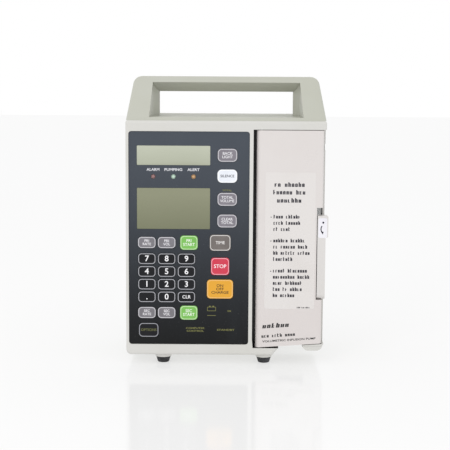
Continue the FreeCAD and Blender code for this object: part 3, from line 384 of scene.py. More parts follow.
@dataclass(frozen=True)
class KeyFilm:
    """Tripleed window of the film over a key, with a worn, shinier middle where fingers press, and painted
    shade along its rim.
    """

    name: str
    colour: str
    worn: str
    roughness: float = 0.40

    def material(self) -> Material:
        """Builds the material."""
        tree = Tree(self.name)
        rub = tree.noise(70.0, 4.0)
        satin = tree.noise(4200.0, 2.0)
        # painted shade: ambient occlusion darkens the key towards near-black along its rim
        corner = tree.crevice(0.9 * MM)
        base = tree.mix(rub.ramp(0.4, 0.72) * 0.6, self.colour, self.worn)
        base = tree.mix(corner.ramp(0.15, 0.9) * 0.6, base, "1A1B1D")
        rough = self.roughness - 0.14 * rub.ramp(0.45, 0.7) + 0.05 * satin
        return tree.finish({"Base Color": base, "Roughness": rough, "Specular IOR Level": 0.25,
                            "Normal": tree.bump(satin, 0.012, 0.4)})


@dataclass(frozen=True)
class DisplayGlass:
    """Unlit liquid-crystal displays: a pale ground, painted darker at the bottom and paler at the top as
    light falls from above, under a faint dot grid, behind a smooth clear window.
    """

    name: str
    stops: tuple[tuple[float, str], ...]
    low: float
    high: float
    dot: float = 0.62

    def material(self) -> Material:
        """Builds the material."""
        tree = Tree(self.name)
        x, _, z = tree.axes()
        drift = tree.noise(18.0, 3.0)
        # painted light: the ground runs from dark at the bottom to pale at the top, where more light falls
        rise = (z - self.low * MM) / ((self.high - self.low) * MM) + 0.10 * (drift - 0.5)
        base = tree.add("ValToRGB", {0: rise}, {"stops": self.stops}).outputs[0]
        across = abs((x / (self.dot * MM)).repeat() - 0.5).over(0.42)
        down = abs((z / (self.dot * MM)).repeat() - 0.5).over(0.42)
        grid = across + down - across * down
        base = tree.mix(grid * 0.14, base, self.stops[0][1])
        smudge = tree.noise(60.0, 5.0).ramp(0.5, 0.75)
        return tree.finish({"Base Color": base, "Roughness": 0.12 + 0.16 * smudge, "Specular IOR Level": 0.35,
                            "IOR": 1.5})


@dataclass(frozen=True)
class LampLenses:
    """Three lamp lenses in a row, told apart by where they stand."""

    name: str
    colours: tuple[str, str, str]
    splits: Pair

    def material(self) -> Material:
        """Builds the material."""
        tree = Tree(self.name)
        x, _, _ = tree.axes()
        first = tree.mix(x.over(self.splits[0] * MM), self.colours[0], self.colours[1])
        base = tree.mix(x.over(self.splits[1] * MM), first, self.colours[2])
        moulding = tree.noise(900.0, 2.0)
        base = tree.mix(moulding * 0.25, base, "F4F0E8")
        return tree.finish({"Base Color": base, "Roughness": 0.14 + 0.1 * moulding, "Coat Weight": 0.6,
                            "Emission Color": base, "Emission Strength": 0.12})


@dataclass(frozen=True)
class Ink:
    """Screen-printed ink with slightly uneven cover."""

    name: str
    colour: str
    thin: str
    roughness: float = 0.5

    def material(self) -> Material:
        """Builds the material."""
        tree = Tree(self.name)
        cover = tree.noise(1500.0, 3.0)
        base = tree.mix(cover.ramp(0.5, 0.8) * 0.5, self.colour, self.thin)
        return tree.finish({"Base Color": base, "Roughness": self.roughness + 0.1 * (cover - 0.5),
                            "Normal": tree.bump(cover, 0.008, 0.5)})


@dataclass(frozen=True)
class PaperLabel:
    """Laminated paper label, a little yellowed at its rim, with a faint fibre texture under the film."""

    name: str
    colour: str
    rim: str

    def material(self) -> Material:
        """Builds the material."""
        tree = Tree(self.name)
        fibre = tree.noise(700.0, 5.0, (1.0, 1.0, 2.5))
        stain = tree.noise(22.0, 4.0)
        base = tree.mix(stain.ramp(0.45, 0.8) * 0.5 + 0.08 * fibre, self.colour, self.rim)
        return tree.finish({"Base Color": base, "Roughness": 0.30 + 0.12 * stain,
                            "Normal": tree.bump(fibre, 0.012, 0.3)})


@dataclass(frozen=True)
class Rubber:
    """Black moulded rubber with a dusty bloom and scuffed rims."""

    name: str
    colour: str
    bloom: str

    def material(self) -> Material:
        """Builds the material."""
        tree = Tree(self.name)
        dust = tree.noise(160.0, 6.0)
        skin = tree.noise(1900.0, 3.0)
        base = tree.mix(dust.ramp(0.45, 0.8) * 0.55, self.colour, self.bloom)
        return tree.finish({"Base Color": base, "Roughness": 0.72 + 0.2 * (dust - 0.5),
                            "Normal": tree.bump(skin, 0.04, 0.6)})


class Working(Enum):
    """How a metal surface was worked, as the stretch of its marks along X, Y and Z."""

    TURNED_ON_X = (30.0, 1.0, 1.0)
    TURNED_ON_Z = (1.0, 1.0, 30.0)
    BRUSHED_UPWARDS = (14.0, 14.0, 0.4)
    CAST = (1.0, 1.0, 1.0)


@dataclass(frozen=True)
class Metal:
    """Bare metal with tool marks and patches of tarnish."""

    name: str
    colour: str
    tarnish: str
    working: Working
    roughness: float = 0.28

    def material(self) -> Material:
        """Builds the material."""
        tree = Tree(self.name)
        marks = tree.noise(260.0, 5.0, self.working.value)
        patches = tree.noise(90.0, 5.0)
        base = tree.mix(patches.ramp(0.5, 0.8) * 0.6, self.colour, self.tarnish)
        rough = self.roughness + 0.22 * (marks - 0.5) + 0.15 * patches.ramp(0.5, 0.8)
        return tree.finish({"Base Color": base, "Metallic": 1.0, "Roughness": rough,
                            "Normal": tree.bump(marks, 0.02, 0.5)})


@dataclass(frozen=True)
class CircuitBoard:
    """Glass-epoxy board under green lacquer, with copper tracks on a square pitch."""

    name: str

    def material(self) -> Material:
        """Builds the material."""
        tree = Tree(self.name)
        x, _, z = tree.axes()
        lanes = abs((z / (2.54 * MM)).repeat() - 0.5).ramp(0.20, 0.14)
        broken = tree.noise(60.0, 1.0, (1.0, 1.0, 6.0)).over(0.5)
        tracks = lanes * broken
        weave = abs((x / (0.8 * MM)).repeat() - 0.5) + abs((z / (0.8 * MM)).repeat() - 0.5)
        base = tree.mix(tracks, "1E5A34", "3C8A4C")
        base = tree.mix(weave * 0.12, base, "C8C08A")
        return tree.finish({"Base Color": base, "Roughness": 0.30 + 0.1 * weave,
                            "Normal": tree.bump(tracks, 0.03, 0.6)})


# ---------------------------------------------------------------- meshes
class Shell:
    """Closed meshes gathered into one piece, each with its own material."""

    def __init__(self) -> None:
        """Starts with nothing in it."""
        self.points: list[np.ndarray] = []
        self.faces: list[list[int]] = []
        self.slots: list[int] = []
        self.count = 0

    def add(self, points: np.ndarray, faces: Iterable[Sequence[int]], slot: int = 0) -> None:
        """Adds one closed mesh, turned so that its faces point outwards.

        The sign of the enclosed volume, a sum over fans of each face, says which way they point.

        Args:
            points: an array of N points, in metres.
            faces: the corners of each face.
            slot: the material slot that the faces take.
        """
        faces = [list(f) for f in faces]
        fans = np.array([(f[0], f[i], f[i + 1]) for f in faces for i in range(1, len(f) - 1)])
        a, b, c = (points[fans[:, k]] for k in range(3))
        if np.einsum("ij,ij->i", a, np.cross(b, c)).sum() < 0:
            faces = [f[::-1] for f in faces]
        self.points.append(points)
        self.faces += [[i + self.count for i in f] for f in faces]
        self.slots += [slot] * len(faces)
        self.count += len(points)

    def piece(self, name: str, body: str, materials: Sequence[Material],
              smooth: bool = False) -> bpy.types.Object:
        """Makes the gathered meshes one object that rides on a body.

        Args:
            name: the piece's name.
            body: the body that it moves with.
            materials: the materials, in slot order.
            smooth: whether faces are shaded smooth.

        Returns:
            The object.
        """
        mesh = bpy.data.meshes.new(name)
        mesh.from_pydata(np.concatenate(self.points).tolist(), [], self.faces)
        for material in materials:
            mesh.materials.append(material)
        mesh.polygons.foreach_set("material_index", np.array(self.slots, np.int32))
        mesh.polygons.foreach_set("use_smooth", np.full(len(mesh.polygons), smooth))
        mesh.update()
        made = bpy.data.objects.new(name, mesh)
        bpy.context.scene.collection.objects.link(made)
        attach(made, body)
        log.info("%s: %d faces on %s", name, len(mesh.polygons), body)
        return made


def grid_faces(rows: int, columns: int, wrap_rows: bool = False) -> list[list[int]]:
    """Quads of a grid of points, numbered row by row, where each row is a closed loop.

    Args:
        rows: how many rows of points there are.
        columns: how many points a row has.
        wrap_rows: whether the last row joins the first.

    Returns:
        The corners of each quad.
    """
    r = np.arange(rows if wrap_rows else rows - 1)[:, None]
    c = np.arange(columns)[None, :]
    r2, c2 = (r + 1) % rows, (c + 1) % columns
    quads = np.stack(np.broadcast_arrays(r * columns + c, r2 * columns + c, r2 * columns + c2,
                                         r * columns + c2), -1)
    return quads.reshape(-1, 4).tolist()


def rounded_loop(half_width: float, half_height: float, radius: float, steps: int = 7) -> np.ndarray:
    """A rounded rectangle about the origin: four corner centres, each plus a quarter turn of the radius."""
    radius = min(radius, half_width, half_height)
    turn = np.linspace(0, math.pi / 2, steps)[None, :] + np.arange(4)[:, None] * math.pi / 2
    across = np.array([1, -1, -1, 1])[:, None] * (half_width - radius) + radius * np.cos(turn)
    up = np.array([1, 1, -1, -1])[:, None] * (half_height - radius) + radius * np.sin(turn)
    return np.stack([across.ravel(), up.ravel()], -1)


def on_front(loop: np.ndarray, centre: Pair, y: float) -> np.ndarray:
    """Puts a flat loop of (across, up) millimetres on a plane that faces the front, in metres."""
    out = np.empty((len(loop), 3))
    out[:, 0] = (loop[:, 0] + centre[0]) * MM
    out[:, 1] = y * MM
    out[:, 2] = (loop[:, 1] + centre[1]) * MM
    return out


def plate(shell: Shell, loop: np.ndarray, centre: Pair, y: float, thick: float, slot: int = 0) -> None:
    """Adds a thin flat plate: the loop on two planes, capped, with its front rim drawn in by a bevel.

    Args:
        shell: what the plate is added to.
        loop: its outline about its own centre, in millimetres.
        centre: where its centre goes, across and up.
        y: its back face; the front face stands nearer the viewer.
        thick: how thick it is.
        slot: its material slot.
    """
    bevel = min(0.4 * thick, 0.1)
    shrink = 1 - bevel / np.abs(loop).max(0)
    rings = [on_front(loop, centre, y), on_front(loop, centre, y - thick + bevel),
             on_front(loop * shrink, centre, y - thick)]
    n = len(loop)
    faces = grid_faces(3, n)
    faces += [list(range(n)), list(range(3 * n - 1, 2 * n - 1, -1))]
    shell.add(np.concatenate(rings), faces, slot)


def outline(shell: Shell, half: Pair, radius: float, line: float, centre: Pair,
            y: float, slot: int = 0) -> None:
    """Adds a printed line round a rounded rectangle: a four-sided section carried round the loop.

    Args:
        shell: what the line is added to.
        half: half width and half height at the line's outer edge.
        radius: the outer corner radius.
        line: the line's width.
        centre: the rectangle's centre, across and up.
        y: the surface that the line lies on.
        slot: its material slot.
    """
    outer = rounded_loop(half[0], half[1], radius)
    inner = rounded_loop(half[0] - line, half[1] - line, max(radius - line, 0.2))
    rings = [on_front(outer, centre, y), on_front(outer, centre, y - INK),
             on_front(inner, centre, y - INK), on_front(inner, centre, y)]
    shell.add(np.concatenate(rings), grid_faces(4, len(outer), wrap_rows=True), slot)


def bars(shell: Shell, low: np.ndarray, high: np.ndarray, y: float, slot: int = 0,
         lean: float = 0.0, turn: float = 0.0, about: Pair = (0.0, 0.0)) -> None:
    """Adds many thin upright boxes at once, each between a low and a high (across, up) corner.

    Args:
        shell: what the boxes are added to.
        low: their lower left corners, N by 2.
        high: their upper right corners, N by 2.
        y: the surface that they lie on.
        slot: their material slot.
        lean: how far a point moves across for each millimetre that it is above the turning point.
        turn: the angle that all are turned by, about a point, in radians.
        about: that point.
    """
    pick = np.array([(0, 0), (1, 0), (1, 1), (0, 1)])
    flat = low[:, None, :] * (1 - pick) + high[:, None, :] * pick
    flat = flat.reshape(-1, 2) - np.array(about)
    flat[:, 0] += lean * flat[:, 1]
    c, s = math.cos(turn), math.sin(turn)
    flat = flat @ np.array([[c, s], [-s, c]]) + np.array(about)
    n = len(flat)
    points = np.concatenate([on_front(flat, (0, 0), y), on_front(flat, (0, 0), y - INK)])
    k = np.arange(4)
    after = (k + 1) % 4
    box = np.concatenate([[k, k[::-1] + n], np.stack([k, k + n, after + n, after], -1)])
    faces = (np.arange(0, n, 4)[:, None, None] + box).reshape(-1, 4)
    shell.add(points, faces.tolist(), slot)


def dummy_words(rng: np.random.Generator, words: Sequence[int], x: float, z: float, pitch: float,
                height: float, bold: float = 0.38) -> tuple[np.ndarray, np.ndarray]:
    """Strokes that look like a line of small print from a distance but spell nothing.

    Each place in a word has a left stem, and by chance a right stem, a tall stem, and bars at three heights.

    Args:
        rng: the source of chance.
        words: how many places each word has.
        x: where the line starts.
        z: the height of its base line.
        pitch: the width of one place.
        height: the height of a capital.
        bold: a stem's width as a share of the pitch.

    Returns:
        The strokes' lower left and upper right corners.
    """
    starts = np.concatenate([np.arange(n) + before for n, before in
                             zip(words, np.cumsum([0] + [n + 1 for n in words[:-1]]))])
    left = x + starts * pitch
    stem = bold * pitch
    body = pitch * 0.78
    tall = np.where(rng.random(len(left)) < 0.3, height, height * 0.72)
    low, high = [], []

    def stroke(x0: np.ndarray, x1: np.ndarray, z0: np.ndarray, z1: np.ndarray, keep: np.ndarray) -> None:
        """Keeps some of a set of strokes."""
        low.append(np.stack([x0, z + z0], -1)[keep])
        high.append(np.stack([x1, z + z1], -1)[keep])

    every = np.ones(len(left), bool)
    flat = np.zeros(len(left))
    stroke(left, left + stem, flat, tall, every)
    stroke(left + body - stem, left + body, flat, flat + height * 0.70, rng.random(len(left)) < 0.62)
    for level, chance in ((0.0, 0.45), (0.32, 0.35), (0.62, 0.6)):
        base = flat + level * height
        stroke(left + stem, left + body - stem * 0.5, base, base + 0.15 * height,
               rng.random(len(left)) < chance)
    return np.concatenate(low), np.concatenate(high)


def lettering(shell: Shell, text: str, centre: Pair, y: float, cap: float, slot: int = 0,
              weight: float = 0.02, width: float | None = None, line: float = 1.0,
              turn: float = 0.0) -> None:
    """Adds raised lettering that faces the front, from the built-in typeface.

    Args:
        shell: what the letters are added to.
        text: the words, with line breaks.
        centre: the middle of the block.
        y: the surface that the letters lie on.
        cap: the height of a capital.
        slot: their material slot.
        weight: how much the strokes are thickened, as a share of the type's size.
        width: the block's width, which the letters are squeezed or spread to.
        line: the line spacing as a share of the type's size.
        turn: the angle that the block is turned by.
    """
    curve = bpy.data.curves.new("type", "FONT")
    curve.body = text
    curve.align_x = curve.align_y = "CENTER"
    curve.space_line = line
    curve.offset = weight
    curve.extrude = 0.5
    curve.resolution_u = 3
    maker = bpy.data.objects.new("type", curve)
    bpy.context.scene.collection.objects.link(maker)
    graph = bpy.context.evaluated_depsgraph_get()
    mesh = bpy.data.meshes.new_from_object(maker.evaluated_get(graph))
    raw = np.empty(len(mesh.vertices) * 3)
    mesh.vertices.foreach_get("co", raw)
    raw = raw.reshape(-1, 3)
    flat = raw[:, :2] * (cap / CAPITAL)
    if width is not None:
        flat[:, 0] *= width / max(np.ptp(flat[:, 0]), 1e-6)
    c, s = math.cos(turn), math.sin(turn)
    flat = flat @ np.array([[c, s], [-s, c]])
    points = on_front(flat, centre, y)
    points[:, 1] -= (raw[:, 2] + curve.extrude) * INK * MM
    shell.add(points, [list(p.vertices) for p in mesh.polygons], slot)
    bpy.data.meshes.remove(mesh)
    bpy.data.objects.remove(maker)
    bpy.data.curves.remove(curve)


def dress(material: Material, *nodes: str) -> None:
    """Gives CAD nodes a material.

    Args:
        material: the material.
        nodes: the nodes that take it.
    """
    for node in nodes:
        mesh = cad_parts[node].data
        mesh.materials.clear()
        mesh.materials.append(material)
    log.info("%s on %s", material.name, ", ".join(nodes))


# ---------------------------------------------------------------- sub-assemblies
@dataclass
class Casing:
    """Front and rear casing halves, the handle and the feet."""

    shell: MouldedPlastic = MouldedPlastic("casing_plastic", "BDBEB4", "7F7E70", "B4B5A7", 0.46)
    foot: Rubber = Rubber("foot_rubber", "232426", "55565A")

    def build(self) -> None:
        """Dresses the casing."""
        door = Box.of("door_cover")
        case = Box.of("front_case")
        # painted shade: inside this box the bezel plastic turns near-black, standing in for the shade in the
        # gap beside the door and in the bay behind it
        bay = Box(door.left - 3.3, case.right - 2.0, case.front + 1.0, case.back + 1.0,
                  door.bottom - 1.2, door.top + 0.8)
        bezel = MouldedPlastic("bezel_plastic", "D3D2CF", "8C8A80", "CBCAC3", 0.38, lining=bay)
        dress(bezel.material(), "front_case")
        dress(self.shell.material(), "rear_case", "carry_handle")
        dress(self.foot.material(), "rubber_feet")


class Face(Enum):
    """Triples of the film over the keys: the field, where it is worn, the print and the line round it."""

    BLACK = ("0E0F14", "17181D", "F6F6F8", "A7A8AE")
    GREY = ("77757A", "84828A", "E9E8EC", "C9C8CD")
    MAUVE = ("807C84", "8C8890", "E9E8EC", "C9C8CD")
    WHITE = ("E9EDF4", "DADFE8", "4A4C58", "FAFBFD")
    BROWN = ("716B68", "7D7673", "EDEAE8", "D5D2CF")
    RED = ("D03A50", "C94A5C", "FBE9EC", "F0A8B4")
    AMBER = ("E3A637", "D99D35", "3A2508", "F0C07A")
    GREEN = ("7DBE5C", "74B056", "EEF6E8", "C4E4B0")
    OPTION = ("0E0F14", "17181D", "66683A", "9A9BA2")


@dataclass
class Keypad:
    """The printed film, its captions, and the print on every key."""

    line: float = 0.75
    line_inset: float = 0.35
    corner: float = 3.2
    tall_corner: float = 3.8
    tall_from: float = 6.0
    stroke_weight: float = 0.016
    row_spacing: float = 0.92
    lamp_inset: float = 2.2
    lamp_names: tuple = (("ALARM", 12.6), ("PUMPING", 17.4), ("ALERT", 12.0))
    battery: Pair = (81.5, 35.5)
    signs: tuple = (("ON", 99.0, 33.4, 1.6, None, 1.0), ("COMPUTER\nCONTROL", 65.4, 14.6, 1.7, 18.6, 1.15),
                    ("STANDBY", 95.6, 14.4, 1.8, 17.6, 1.0))
    widths: dict[str, float] = field(default_factory=lambda: {
        "start_primary": 11.5, "start_secondary": 11.5, "options": 15.4, "silence": 13.6, "status": 14.0,
        "on_off": 17.0,
    })
    captions: dict[str, tuple[str, Face, float]] = field(default_factory=lambda: {
        **{str(n): (str(n), Face.BLACK, 5.6) for n in range(10)},
        "point": (".", Face.BLACK, 5.6), "clear": ("CLR", Face.BLACK, 3.2),
        "rate_primary": ("PRI\nRATE", Face.GREY, 2.5), "volume_primary": ("PRI\nVOL", Face.GREY, 2.5),
        "start_primary": ("PRI\nSTART", Face.GREEN, 2.9), "rate_secondary": ("SEC\nRATE", Face.GREY, 2.5),
        "volume_secondary": ("SEC\nVOL", Face.GREY, 2.5), "start_secondary": ("SEC\nSTART", Face.GREEN, 2.9),
        "options": ("OPTIONS", Face.OPTION, 2.5), "backlight": ("BACK\nLIGHT", Face.MAUVE, 2.6),
        "silence": ("SILENCE", Face.WHITE, 2.5), "status": ("TOTAL\nVOLUME", Face.MAUVE, 2.6),
        "reset_total": ("CLEAR\nTOTAL", Face.MAUVE, 2.6), "time": ("TIME", Face.BROWN, 2.9),
        "stop": ("STOP", Face.RED, 3.6), "on_off": ("ON\nOFF\nCHARGE", Face.AMBER, 2.6),
    })

    def build(self) -> None:
        """Dresses the film and the keys, and prints them."""
        panel = Box.of("keypad_overlay")
        # painted light: the film's colour rises from near-black below to grey at the top, where more light
        # falls
        film = PrintedFilm("panel_film", "464C55", "08090A", panel.bottom - 20.0, panel.top + 6.0)
        dress(film.material(), "keypad_overlay")
        self._print_panel(panel)
        fields, inks = self._paints()
        for name, (text, face, cap) in self.captions.items():
            self._print_key(name, text, face, cap, fields[face], inks[face])

    @staticmethod
    def _paints() -> tuple[dict, dict]:
        """Makes each face's field material, and its print and line inks."""
        fields, inks = {}, {}
        for face in Face:
            base, worn, text, ring = face.value
            title = face.name.lower()
            fields[face] = KeyFilm("key_film_" + title, base, worn).material()
            inks[face] = [Ink("key_print_" + title, text, worn).material(),
                          Ink("key_line_" + title, ring, base).material()]
        return fields, inks

    def _print_key(self, name: str, text: str, face: Face, cap: float, paint: Material,
                   inks: list[Material]) -> None:
        """Dresses one key and adds its print, which moves with it.

        Args:
            name: the key's name, without its prefix.
            text: its caption.
            face: its colours; not used.
            cap: the height of the caption's capitals.
            paint: the field's material.
            inks: the caption's and the line's materials.
        """
        node = "key_" + name
        key = Box.of(node)
        dress(paint, node)
        shell = Shell()
        y = key.front + SUNK
        lettering(shell, text, key.centre, y, cap, 0, self.stroke_weight, self.widths.get(name),
                  self.row_spacing)
        radius = self.corner if key.half[1] < self.tall_from else self.tall_corner
        half = (key.half[0] - self.line_inset, key.half[1] - self.line_inset)
        outline(shell, half, radius, self.line, key.centre, y, 1)
        shell.piece(f"print_{name}", "pad_" + name, inks)

    def _print_panel(self, panel: Box) -> None:
        """Adds the lamp names, the small captions and the battery sign to the film.

        Args:
            panel: the film's box.
        """
        white = Ink("panel_white", "D9DADF", "8E9197").material()
        olive = Ink("panel_olive", "77773F", "4B4B34").material()
        lamps = Box.of("status_leds")
        y = panel.front + SUNK
        shell = Shell()
        places = (lamps.left + self.lamp_inset, lamps.centre[0], lamps.right - self.lamp_inset)
        for x, (word, width) in zip(places, self.lamp_names):
            lettering(shell, word, (x, lamps.top + 4.6), y, 2.5, 0, 0.03, width)
        battery_x, battery_z = panel.left + self.battery[0], panel.bottom + self.battery[1]
        lettering(shell, "TOTAL", (panel.left + 96.2, panel.top - 57.4), y, 1.6, 1, 0.02, 9.5)
        outline(shell, (4.3, 2.1), 0.4, 0.45, (battery_x, battery_z), y, 1)
        base = (battery_x, battery_z - 1.4)
        bars(shell, np.array([[-2.6, 3.6], [-2.6 + 3.4, 3.6], [-4.2, -5.4]]) + base,
             np.array([[-0.8, 4.6], [2.6, 4.6], [4.2, -4.9]]) + base, y, 1)
        for word, across, up, cap, width, spacing in self.signs:
            lettering(shell, word, (panel.left + across, panel.bottom + up), y, cap, 1, 0.02, width, spacing)
        shell.piece("panel_print", "casing", [white, olive])


@dataclass
class Displays:
    """Two displays and three status lamps."""

    def build(self) -> None:
        """Dresses the displays and lamps."""
        modules = Box.of("lcd_modules")
        # painted light: the displays' ground is darker at the bottom and paler at the top, where more light
        # falls
        stops = ((0.0, "74775E"), (0.42, "8B8D75"), (0.62, "8B8D75"), (0.78, "B0B4A2"), (1.0, "BFC3B2"))
        glass = DisplayGlass("display_glass", stops, modules.bottom, modules.top)
        dress(glass.material(), "lcd_modules")
        lamps = Box.of("status_leds")
        third = (lamps.right - lamps.left) / 3
        lens = LampLenses("lamp_lenses", ("6E2A32", "A4C4B2", "A8762A"),
                          (lamps.left + third, lamps.right - third))
        dress(lens.material(), "status_leds")


@dataclass
class Door:
    """The door with its instruction label and the print along its slanted foot."""

    paint: MouldedPlastic = MouldedPlastic("door_paint", "D9D4D2", "9A928C", "D3CBC9", 0.34, 0.18,
                                           0.9, 2.2, 0.4)
    label_inset: float = 8.7
    label_width: float = 49.3
    label_drop: float = 40.7
    label_height: float = 135.5
    label_thick: float = 0.14
    label_ink: float = 0.11
    text_inset: float = 17.0
    row_pitch: float = 6.15
    titles: tuple = (((2, 6), 52.7, 17.6, 3.35), ((6, 3), 60.2, 16.4, 3.2), ((7,), 68.2, 20.2, 3.5))
    paragraphs: tuple = (
        (84.2, ((4, 6), (4, 6), (2, 4))),
        (107.8, ((6, 6), (2, 6, 4), (2, 6, 5), (8,))),
        (137.8, ((5, 8), (9, 5), (4, 7), (3, 2, 5), (2, 6))),
    )
    foot_slope: float = math.atan2(4.5, 65.5)
    foot_rows: tuple = (((6,), 7.0, 19.4, 4.5, 4.6, 0.22), ((3, 4, 4), 6.4, 9.9, 2.6, 3.4, 0.0))
    bold: float = 0.36

    def build(self) -> None:
        """Dresses the door and adds its label and print."""
        door = Box.of("door_cover")
        dress(self.paint.material(), "door_cover")
        dress(MouldedPlastic("liner_plastic", "CFCEC6", "8C8A80", "C6C5BA").material(), "door_liner")
        self._label(door)
        self._foot_print(door)

    def _label(self, door: Box) -> None:
        """Adds the instruction label, whose small print spells nothing.

        Args:
            door: the door's box.
        """
        paper = PaperLabel("door_label_paper", "DDD9D7", "D3CECA").material()
        ink = Ink("door_label_ink", "2A2732", "45414E").material()
        centre = (door.left + self.label_inset + self.label_width / 2,
                  door.top - self.label_drop - self.label_height / 2)
        shell = Shell()
        sheet = rounded_loop(self.label_width / 2, self.label_height / 2, 2.2)
        plate(shell, sheet, centre, door.front + PASTED, self.label_thick)
        rng = np.random.default_rng(7)
        y = door.front - self.label_ink
        x = door.left + self.text_inset
        for words, drop, start, pitch in self.titles:
            low, high = dummy_words(rng, words, door.left + start, door.top - drop - 2.2, pitch, 4.4,
                                    self.bold)
            bars(shell, low, high, y, 1)
        for drop, rows in self.paragraphs:
            for i, words in enumerate(rows):
                z = door.top - drop - self.row_pitch * i - 1.9
                low, high = dummy_words(rng, words, x, z, 2.42, 3.7)
                bars(shell, low, high, y, 1)
            mark = np.array([[x - 2.9, door.top - drop - 1.0]])
            bars(shell, mark, mark + (1.1, 0.8), y, 1)
        low, high = dummy_words(rng, (3, 7), door.left + 41.0, door.top - 175.4, 1.15, 1.5)
        bars(shell, low, high, y, 1)
        shell.piece("door_label", "door", [paper, ink])

    def _foot_print(self, door: Box) -> None:
        """Adds the lines along the door's foot, which follow its slanted edge.

        Args:
            door: the door's box.
        """
        ink = Ink("door_ink", "161518", "35333A").material()
        rng = np.random.default_rng(23)
        shell = Shell()
        y = door.front + SUNK
        for words, x, z, pitch, height, lean in self.foot_rows:
            start = (door.left + x, door.bottom + z)
            low, high = dummy_words(rng, words, *start, pitch, height, self.bold)
            bars(shell, low, high, y, 0, lean, self.foot_slope, start)
        lettering(shell, "VOLUMETRIC INFUSION PUMP", (door.left + 33.6, door.bottom + 7.9), y, 2.0, 0, 0.02,
                  53.0, turn=self.foot_slope)
        shell.piece("door_print", "door", [ink])


@dataclass
class Latch:
    """The latch lever with the pull sign on its finger pad, and the bar that it lifts."""

    sign_width: float = 8.6
    sign_height: float = 19.5
    sign_inset: Pair = (1.2, 2.2)
    sign_thick: float = 0.12
    sign_ink: float = 0.09
    band_outside: float = 5.3
    band_inside: float = 4.3

    def build(self) -> None:
        """Dresses the latch and adds its sign."""
        plastic = MouldedPlastic("lever_plastic", "D9D6D4", "95918F", "D1CECB", 0.30, 0.15, 0.9)
        dress(plastic.material(), "latch_lever")
        dress(Metal("latch_steel", "C6C7C8", "8E8C88", Working.BRUSHED_UPWARDS).material(), "latch_slide")
        lever = Box.of("latch_lever")
        centre = (lever.right - self.sign_inset[0] - self.sign_width / 2,
                  lever.top - self.sign_inset[1] - self.sign_height / 2)
        paper = PaperLabel("sign_paper", "EBEAF0", "DEDCE6").material()
        ink = Ink("sign_ink", "14132A", "2E2A46").material()
        shell = Shell()
        sheet = rounded_loop(self.sign_width / 2, self.sign_height / 2, 1.6)
        plate(shell, sheet, centre, lever.front + PASTED, self.sign_thick)
        y = lever.front - self.sign_ink
        turn = np.linspace(0, 2 * math.pi, 20, endpoint=False)
        dot = np.stack([np.cos(turn), np.sin(turn)], -1)
        plate(shell, dot, (centre[0] + 0.4, centre[1] + 5.4), y, INK, 1)
        self._arrow(shell, (centre[0] + 3.0, centre[1] - 1.0), y)
        shell.piece("lever_sign", "lever", [paper, ink])

    def _arrow(self, shell: Shell, middle: Pair, y: float) -> None:
        """Adds a curved arrow: a band between two arcs about a point, and a pointed head.

        Args:
            shell: what the arrow is added to.
            middle: the arcs' centre.
            y: the surface that it lies on.
        """
        sweep = np.linspace(math.radians(140), math.radians(222), 14)
        ring = np.stack([np.cos(sweep), np.sin(sweep)], -1)
        band = np.concatenate([ring * self.band_outside, ring[::-1] * self.band_inside])
        plate(shell, band, middle, y, INK, 1)
        head = np.array([(-1.3, 0.9), (1.5, 0.6), (0.5, -2.2)])
        reach = (self.band_outside + self.band_inside) / 2
        tip = (middle[0] + reach * math.cos(sweep[-1]), middle[1] + reach * math.sin(sweep[-1]))
        plate(shell, head, tip, y, INK, 1)


